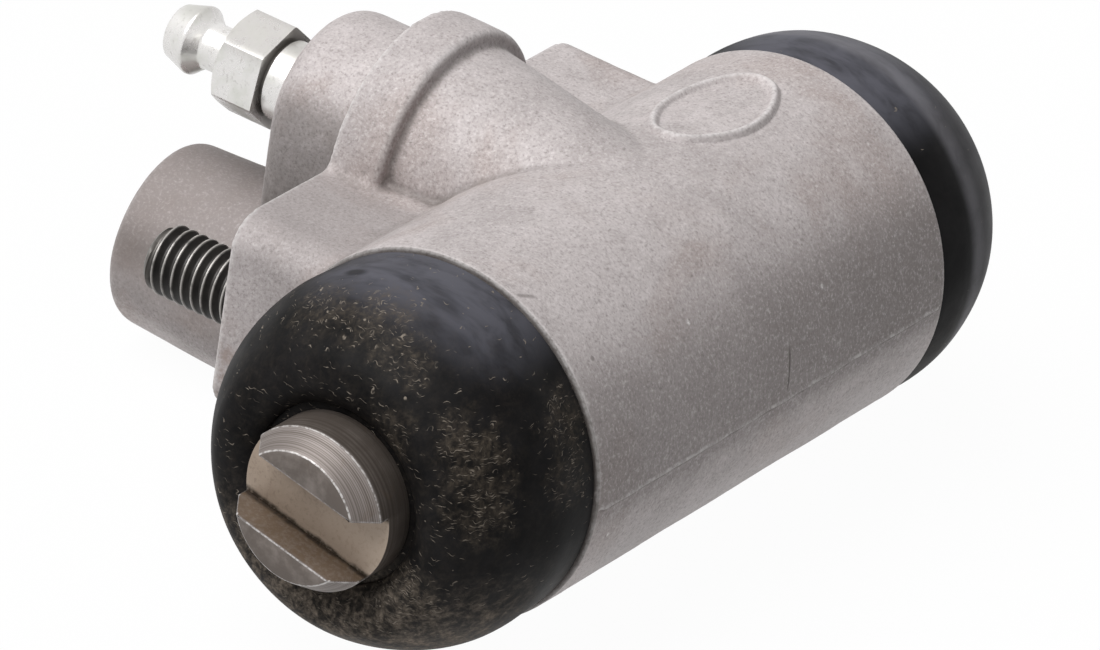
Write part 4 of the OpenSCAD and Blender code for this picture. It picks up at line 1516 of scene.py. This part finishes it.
@dataclass
class Piston:
    """A piston with its head in the bore and a slotted stem.

    Attributes:
        side: End of the barrel that it works at.
        stem: Sizes of its stem.
        steps: Segments round the bore.
        edge: Width of the slot's broken edges.
    """

    side: Side
    stem: Stem = Stem()
    steps: int = 120
    face: float = 12.6 * MM
    head_r: float = 9.495 * MM
    head_end: float = 27.6 * MM
    lip_in: float = 34.6435 * MM
    lip_out: float = 36.6435 * MM
    lip_r: float = 6.15 * MM
    chamfer: float = 0.5 * MM
    edge: float = 0.13 * MM

    def section(self) -> list[Point2]:
        """Draws the piston's section.

        Returns:
            Points as (radius, place), on the right side.
        """
        c, stem = self.chamfer, self.stem
        points = [
            (0.0, self.face), (self.head_r - c, self.face), (self.head_r, self.face + c),
            (self.head_r, self.head_end - c), (self.head_r - c, self.head_end),
            (stem.radius, self.head_end), (stem.radius, self.lip_in), (self.lip_r, self.lip_in),
            (self.lip_r, self.lip_out), (stem.radius, self.lip_out),
            (stem.radius, stem.end - stem.cone), (stem.flat_r, stem.end), (0.0, stem.end),
        ]
        return [(r, s + self.side.out) for r, s in points]

    def build(self, finish: Finish) -> Piece:
        """Turns the piston, cuts its slot and breaks the slot's edges.

        Args:
            finish: Metal of the piston.

        Returns:
            The piston.
        """
        bm = lathe(self.side.flip(self.section()), BORE_CENTRE, Axis.BORE, self.steps)
        self.cut_slot(bm)
        obj = place(bm, f"{self.side.label}_piston_metal", finish, 25.0)
        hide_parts(f"{self.side.label}_piston")
        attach(obj, f"{self.side.label}_piston")
        return report(obj)

    def cut_slot(self, bm: BMesh) -> None:
        """Cuts the brake shoe's slot across the stem's end.

        Args:
            bm: The turned piston.
        """
        turn, half, sign = self.stem.slot_turn, self.stem.slot_half, self.side.value
        across = Vector((0.0, -math.sin(turn), math.cos(turn)))
        end = sign * (self.stem.end + self.side.out)
        floor = sign * (self.stem.end + self.side.out - self.stem.slot_depth)
        for at, normal in ((BORE_CENTRE + across * half, across),
                           (BORE_CENTRE - across * half, across),
                           (Vector((floor, 0.0, 0.0)), Axis.BORE.vector)):
            cut_through(bm, at, normal, 1e-8)

        def height(p: Vector) -> float:
            """Distance of a point from the slot's middle plane."""
            return (p - BORE_CENTRE).dot(across)

        def in_slot(f: bmesh.types.BMFace) -> bool:
            """Whether a face lies where the slot goes."""
            mid = f.calc_center_median()
            return abs(height(mid)) < half - MERGE and sign * (mid.x - floor) > MERGE

        def level_at(e: bmesh.types.BMEdge, level: float) -> bool:
            """Whether an edge lies in one wall of the slot."""
            return all(abs(height(v.co) - level) < MERGE for v in e.verts)

        bmesh.ops.delete(bm, geom=[f for f in bm.faces if in_slot(f)], context="FACES")
        rim = [e for e in bm.edges if e.is_boundary]
        on_floor = [v for v in {v for e in rim for v in e.verts} if abs(v.co.x - floor) < MERGE]
        seams = []
        for level in (half, -half):
            seam = bm.edges.new([v for v in on_floor if abs(height(v.co) - level) < MERGE])
            seams.append(seam)
            cap(bm, [e for e in rim if level_at(e, level)] + [seam])
        cap(bm, [e for e in rim if all(v in on_floor for v in e.verts)] + seams)
        broken = [e for e in rim if e.is_valid]
        broken += [e for e in bm.edges if e not in broken and e.is_valid and len(e.link_faces) == 2
                   and all(abs(v.co.x - end) < MERGE for v in e.verts)
                   and e.calc_face_angle(0.0) > 0.2]
        bmesh.ops.bevel(bm, geom=broken, offset=self.edge, offset_type="OFFSET", segments=2,
                        profile=0.5, affect="EDGES", clamp_overlap=False, material=-1)


@dataclass
class StudThread:
    """A mounting stud with its thread.

    Attributes:
        side: End of the foot that it stands in.
        crest_r: Radius at the thread's crests.
        root_r: Radius at its roots.
        root_rise: How far the rounded roots rise to the flanks.
        held: Length in the foot.
        proud: Length past the mounting face.
        insets: Rows of points beside each end, which the chamfer needs.
    """

    side: Side
    crest_r: float = 3.0 * MM
    root_r: float = 2.39 * MM
    root_rise: float = 0.04 * MM
    pitch: float = 1.0 * MM
    held: float = 8.0 * MM
    proud: float = 10.0 * MM
    chamfer: float = 0.62 * MM
    per_turn: int = 48
    insets: tuple[float, ...] = (0.2 * MM, 0.4 * MM, 0.6 * MM)

    def build(self, finish: Finish) -> Piece:
        """Winds the thread, cuts it to length and bevels its ends.

        Args:
            finish: Coat of the stud.

        Returns:
            The stud.
        """
        low, flank = -self.held - self.pitch, self.root_r + self.root_rise
        rows = ((self.crest_r, 0.0), (self.crest_r, 0.13), (flank, 0.43), (self.root_r, 0.50),
                (self.root_r, 0.62), (flank, 0.70), (self.crest_r, 1.0))
        section = [(r, low + share * self.pitch) for r, share in rows]
        centre = Vector((self.side.value * STUD_X, 0.0, 0.0))
        turns = round((self.held + self.proud) / self.pitch) + 2
        bm = helix(section, centre, Axis.PLATE, self.pitch, turns, self.per_turn, False)
        bmesh.ops.remove_doubles(bm, verts=bm.verts[:], dist=MERGE)
        self.cut(bm, self.proud, 1.0)
        self.cut(bm, -self.held, -1.0)
        for v in bm.verts:
            inset = min(self.proud - v.co.y, v.co.y + self.held)
            off = Vector((v.co.x - centre.x, 0.0, v.co.z))
            room = self.crest_r - self.chamfer + inset
            if off.length > room:
                v.co -= off.normalized() * (off.length - room)
        obj = place(bm, f"{self.side.label}_stud_thread", finish, 40.0)
        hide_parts(f"{self.side.label}_stud")
        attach(obj, "housing")
        return report(obj)

    def cut(self, bm: BMesh, at: float, way: float) -> None:
        """Ends the thread at one place and closes it there.

        Args:
            bm: The wound thread.
            at: Place along the stud.
            way: 1 to drop what lies past it, -1 to drop what lies before it.
        """
        along = Axis.PLATE.vector * way
        for inset in self.insets:
            cut_through(bm, Vector((0.0, at - way * inset, 0.0)), along, 1e-9)
        cut_through(bm, Vector((0.0, at, 0.0)), along, 1e-9, drop=True)
        rim = [e for e in bm.edges
               if e.is_boundary and all(abs(v.co.y - at) < MERGE for v in e.verts)]
        bmesh.ops.holes_fill(bm, edges=rim, sides=0)


@dataclass
class BleedScrew:
    """Bleed screw with its hexagon and hose nipple, places measured from the mounting face.

    Attributes:
        flats: Width of the hexagon across its flats.
        corner_r: Largest radius at the hexagon's slightly rounded corners.
        top_r: Radius of the flat that the bevel leaves.
        lean: Rise of that bevel for each unit of its width.
        mark: Radius that marks the hexagon's rows before they are drawn in.
        found_r: Radius above which a point belongs to a marked row.
        shaded_at: Start and end of the relief under the hexagon, which gets painted shade.
        shaded_r: Radius below which that painted shade sits.
    """

    steps: int = 96
    seat_r: float = 3.0 * MM
    thread_r: float = 3.5 * MM
    relief_r: float = 3.25 * MM
    flats: float = 8.0 * MM
    corner_r: float = 4.56 * MM
    top_r: float = 3.82 * MM
    lean: float = 0.6
    hex_start: float = 12.5 * MM
    hex_end: float = 16.9 * MM
    neck_r: float = 2.0 * MM
    bulb_start: float = 20.0 * MM
    bulb_r: float = 3.0 * MM
    tip_r: float = 2.3 * MM
    tip: float = 23.2 * MM
    drill_r: float = 0.9 * MM
    turn: float = math.radians(41.0)
    mark: float = 6.0 * MM
    found_r: float = 5.0 * MM
    shaded_at: Point2 = (12.15 * MM, 12.51 * MM)
    shaded_r: float = 3.6 * MM

    def section(self) -> list[Point2]:
        """Draws the screw's section.

        Returns:
            Points as (radius, place); the hexagon's two rows carry a mark as their radius.
        """
        neck, top, bulb = self.neck_r, self.hex_end, self.bulb_start
        return [
            (0.0, -6.4 * MM), (0.9 * MM, -6.4 * MM), (self.seat_r, -3.75 * MM),
            (self.seat_r, -0.8 * MM), (self.thread_r, -0.3 * MM), (self.thread_r, 8.0 * MM),
            (self.thread_r, 12.1 * MM), (self.relief_r, 12.2 * MM),
            (self.relief_r, self.hex_start), (self.mark, self.hex_start), (self.mark, top),
            (self.top_r, top), (3.0 * MM, top),
            *arc((neck + 0.5 * MM, top + 0.5 * MM), 0.5 * MM, 270.0, 180.0, 5),
            (neck, top + 1.6 * MM), (neck, bulb - 0.4 * MM),
            *arc((neck + 0.4 * MM, bulb - 0.4 * MM), 0.4 * MM, 180.0, 120.0, 3),
            (self.bulb_r - 0.25 * MM, bulb + 0.62 * MM),
            *arc((self.bulb_r - 0.35 * MM, bulb + 1.0 * MM), 0.35 * MM, -50.0, 20.0, 5),
            (self.tip_r + 0.12 * MM, self.tip - 0.35 * MM),
            *arc((self.tip_r - 0.2 * MM, self.tip - 0.3 * MM), 0.3 * MM, 20.0, 90.0, 4),
            (self.drill_r + 0.12 * MM, self.tip), (self.drill_r, self.tip - 0.12 * MM),
            (self.drill_r, 13.0 * MM), (0.0, 12.5 * MM),
        ]

    def build(self, finish: Finish) -> Piece:
        """Turns the screw and draws its two marked rows out to the hexagon.

        Args:
            finish: Plating of the screw.

        Returns:
            The screw.
        """
        bm = lathe(self.section(), Vector((0.0, 0.0, BLEED_Z)), Axis.PLATE, self.steps,
                   turn=self.turn + math.radians(90.0))
        grime = bm.verts.layers.float.new("grime")
        for v in bm.verts:
            off = Vector((v.co.x, 0.0, v.co.z - BLEED_Z))
            if off.length > self.found_r:
                self.to_hexagon(v, off)
            # Marks the relief under the hexagon for painted shade.
            if self.shaded_at[0] < v.co.y < self.shaded_at[1] and off.length < self.shaded_r:
                v[grime] = 1.0
        obj = place(bm, "bleed_screw_metal", finish, 28.0)
        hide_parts("bleed_screw")
        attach(obj, "bleed_screw")
        return report(obj)

    def to_hexagon(self, v: BMVert, off: Vector) -> None:
        """Moves one marked point to the hexagon's side.

        Args:
            v: Point of a marked row.
            off: Its way out from the axis.
        """
        angle = math.atan2(off.x, off.z) - self.turn - math.radians(90.0)
        sixth = math.radians(60.0)
        from_flat = (angle % sixth) - sixth / 2.0
        r = min(self.flats / 2.0 / math.cos(from_flat), self.corner_r)
        top = v.co.y > (self.hex_start + self.hex_end) / 2.0
        way = off.normalized()
        v.co.x, v.co.z = way.x * r, BLEED_Z + way.z * r
        if top:
            v.co.y = self.hex_end - (r - self.top_r) * self.lean


@dataclass
class ReturnSpring:
    """The coil between the two cup expanders, in two halves that meet in the middle.

    Attributes:
        left_end: Place of the wire's centre at the left end.
        right_end: Place of the wire's centre at the right end.
        closed: Share of the length that each closed end turn takes.
    """

    left_end: float = -9.95 * MM
    right_end: float = 8.75 * MM
    coil_r: float = 4.5 * MM
    wire_r: float = 0.5 * MM
    turns: int = 6
    closed: float = 0.02
    per_turn: int = 40
    sides: int = 12

    def build(self, finish: Finish) -> list[Piece]:
        """Winds both halves.

        Args:
            finish: Wire of the spring.

        Returns:
            The two halves.
        """
        length = self.right_end - self.left_end
        middle = self.left_end + length / 2.0
        flat = length * self.closed
        open_turns = self.turns / 2 - 1
        steep = (length / 2.0 - flat) / open_turns
        tight, loose = (1.0, flat), (open_turns, steep)
        halves = []
        for side, start, end, run in (
                (Side.LEFT, self.left_end, self.left_end, (tight, loose)),
                (Side.RIGHT, middle, self.right_end, (loose, tight))):
            obj = place(self.wind(start, run), f"{side.label}_spring_half", finish, 60.0)
            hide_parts("return_spring")
            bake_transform(obj)
            halves.append(report(obj))
        return halves

    def wind(self, start: float, run: Sequence[Point2]) -> BMesh:
        """Winds one half.

        Args:
            start: Place of the wire's centre where it starts.
            run: Turns and advance for one turn, stretch by stretch.

        Returns:
            The half's mesh with both ends capped.
        """
        bm = bmesh.new()
        at = Matrix.Translation((start, BORE_AXIS_Y + self.coil_r, 0.0))
        ring = bmesh.ops.create_circle(bm, cap_ends=False, segments=self.sides,
                                       radius=self.wire_r, matrix=at)
        first = bm.edges[:]
        geom = ring["verts"] + first
        for turns, advance in run:
            geom = sweep(bm, geom, BORE_CENTRE, Axis.BORE, turns, self.per_turn, advance)
        cap(bm, first, geom)
        return bm


@dataclass
class Studio:
    """Pale floor, soft light and the photograph's camera.

    Attributes:
        floor_z: Height of the floor, just under the lowest piece.
        sun_from: Direction that the main light comes from.
        sun_power: Its strength.
        sun_size: Its width as seen from the part, in degrees.
        zenith: Strength of the light from straight above.
        horizon: Strength of the light from the sides and from below.
        backdrop: Share of plain white in the floor as the camera sees it.
    """

    floor_z: float = -18.9 * MM
    floor_half: float = 0.8
    floor_colour: Colour = (0.70, 0.70, 0.70)
    white: Colour = (1.0, 1.0, 1.0)
    sun_from: Colour = (-0.44, 0.24, 0.87)
    sun_power: float = 3.95
    sun_size: float = 52.0
    zenith: float = 0.24
    horizon: float = 0.02
    backdrop: float = 0.97
    camera_at: Colour = (-0.7495526, -0.4712707, 0.4864389)
    camera_right: Colour = (0.5755892, -0.8071061, 0.1314414)
    camera_up: Colour = (0.333194, 0.3782681, 0.8636521)
    camera_ahead: Colour = (0.746779, 0.4533133, -0.48665)
    lens: float = 405.13
    sensor: float = 36.0

    def build(self) -> None:
        """Sets up the floor, lights, world, camera and view."""
        self.floor()
        self.sun()
        self.world()
        self.camera()
        bpy.context.scene.view_settings.view_transform = "Standard"

    @staticmethod
    def seen(g: Graph) -> Socket:
        """1 for rays that show the backdrop, and 0 for rays that light the part."""
        path = g.node("LightPath", {}).outputs
        return g.most(*(path[f"Is {kind} Ray"] for kind in ("Camera", "Glossy", "Transmission")))

    def floor(self) -> None:
        """Lays the floor."""
        g = Graph("studio_floor")
        cloth = g.node("BsdfDiffuse", {"Color": self.floor_colour})
        glow = g.node("Emission", {"Color": self.white, "Strength": 1.0})
        share = g.times(self.seen(g), self.backdrop)
        mixed = g.node("MixShader", {0: share, 1: cloth.outputs[0], 2: glow.outputs[0]})
        g.node("OutputMaterial", {"Surface": mixed.outputs[0]})
        bm = bmesh.new()
        bmesh.ops.create_grid(bm, x_segments=2, y_segments=2, size=self.floor_half,
                              matrix=Matrix.Translation((0.0, 0.0, self.floor_z)))
        place(bm, "studio_floor", g.owner)

    def sun(self) -> None:
        """Hangs the soft main light."""
        lamp = bpy.data.lights.new("soft_sun", "SUN")
        lamp.energy = self.sun_power
        lamp.angle = math.radians(self.sun_size)
        obj = bpy.data.objects.new("soft_sun", lamp)
        obj.rotation_euler = Vector(self.sun_from).to_track_quat("Z", "Y").to_euler()
        bpy.context.scene.collection.objects.link(obj)

    def world(self) -> None:
        """Lights the part from all round, with a white backdrop for reflections."""
        g = Graph("studio_world", world=True)
        height = g.split(g.node("TexCoord", {}).outputs["Generated"])[2]
        sky = g.node("MapRange", {"Value": height, "To Min": self.horizon, "To Max": self.zenith})
        level = g.node("MapRange", {"Value": self.seen(g), "To Min": sky.outputs[0], "To Max": 1.0})
        back = g.node("Background", {"Color": self.white, "Strength": level.outputs[0]})
        g.node("OutputWorld", {"Surface": back.outputs[0]})
        bpy.context.scene.world = g.owner

    def camera(self) -> None:
        """Places the camera at the photograph's viewing angle."""
        lens = bpy.data.cameras.new("photo_camera")
        lens.lens = self.lens
        lens.sensor_width = self.sensor
        lens.sensor_fit = "HORIZONTAL"
        obj = bpy.data.objects.new("photo_camera", lens)
        right, up, ahead = (Vector(v).normalized() for v in
                            (self.camera_right, self.camera_up, self.camera_ahead))
        turn = Matrix((right, up, -ahead)).transposed()
        obj.matrix_world = Matrix.Translation(Vector(self.camera_at)) @ turn.to_4x4()
        bpy.context.scene.collection.objects.link(obj)
        bpy.context.scene.camera = obj


def dress_nodes(nodes: dict[str, Piece], finishes: dict[str, Finish]) -> None:
    """Gives carried-over solids their finish.

    Args:
        nodes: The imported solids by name.
        finishes: Finish for each name.
    """
    for name, finish in finishes.items():
        for slot in nodes[name].material_slots:
            slot.material = finish
        LOG.info("%s: solid kept", name)


def main() -> None:
    """Builds the pieces in order and dresses them."""
    logging.basicConfig(level=logging.INFO, format="%(message)s")
    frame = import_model()
    nodes = frame["nodes"]
    Studio().build()
    cast = CastAluminium().material()
    steel = TurnedSteel().material()
    rubber = BootRubber().material()
    wire = SpringSteel().material()
    oxide = BlackOxide().material()
    cup = CupRubber().material()
    HousingCasting(nodes["cylinder_housing"]).build(cast)
    InletThread().build(cast)
    for side in Side:
        DustBoot(side).build(rubber)
        Piston(side).build(steel)
        StudThread(side).build(oxide)
        dress_nodes(nodes, {f"{side.label}_cup_seal": cup, f"{side.label}_cup_expander": wire})
    BleedScrew().build(ZincPlate().material())
    ReturnSpring().build(wire)


if __name__ == "__main__":
    main()
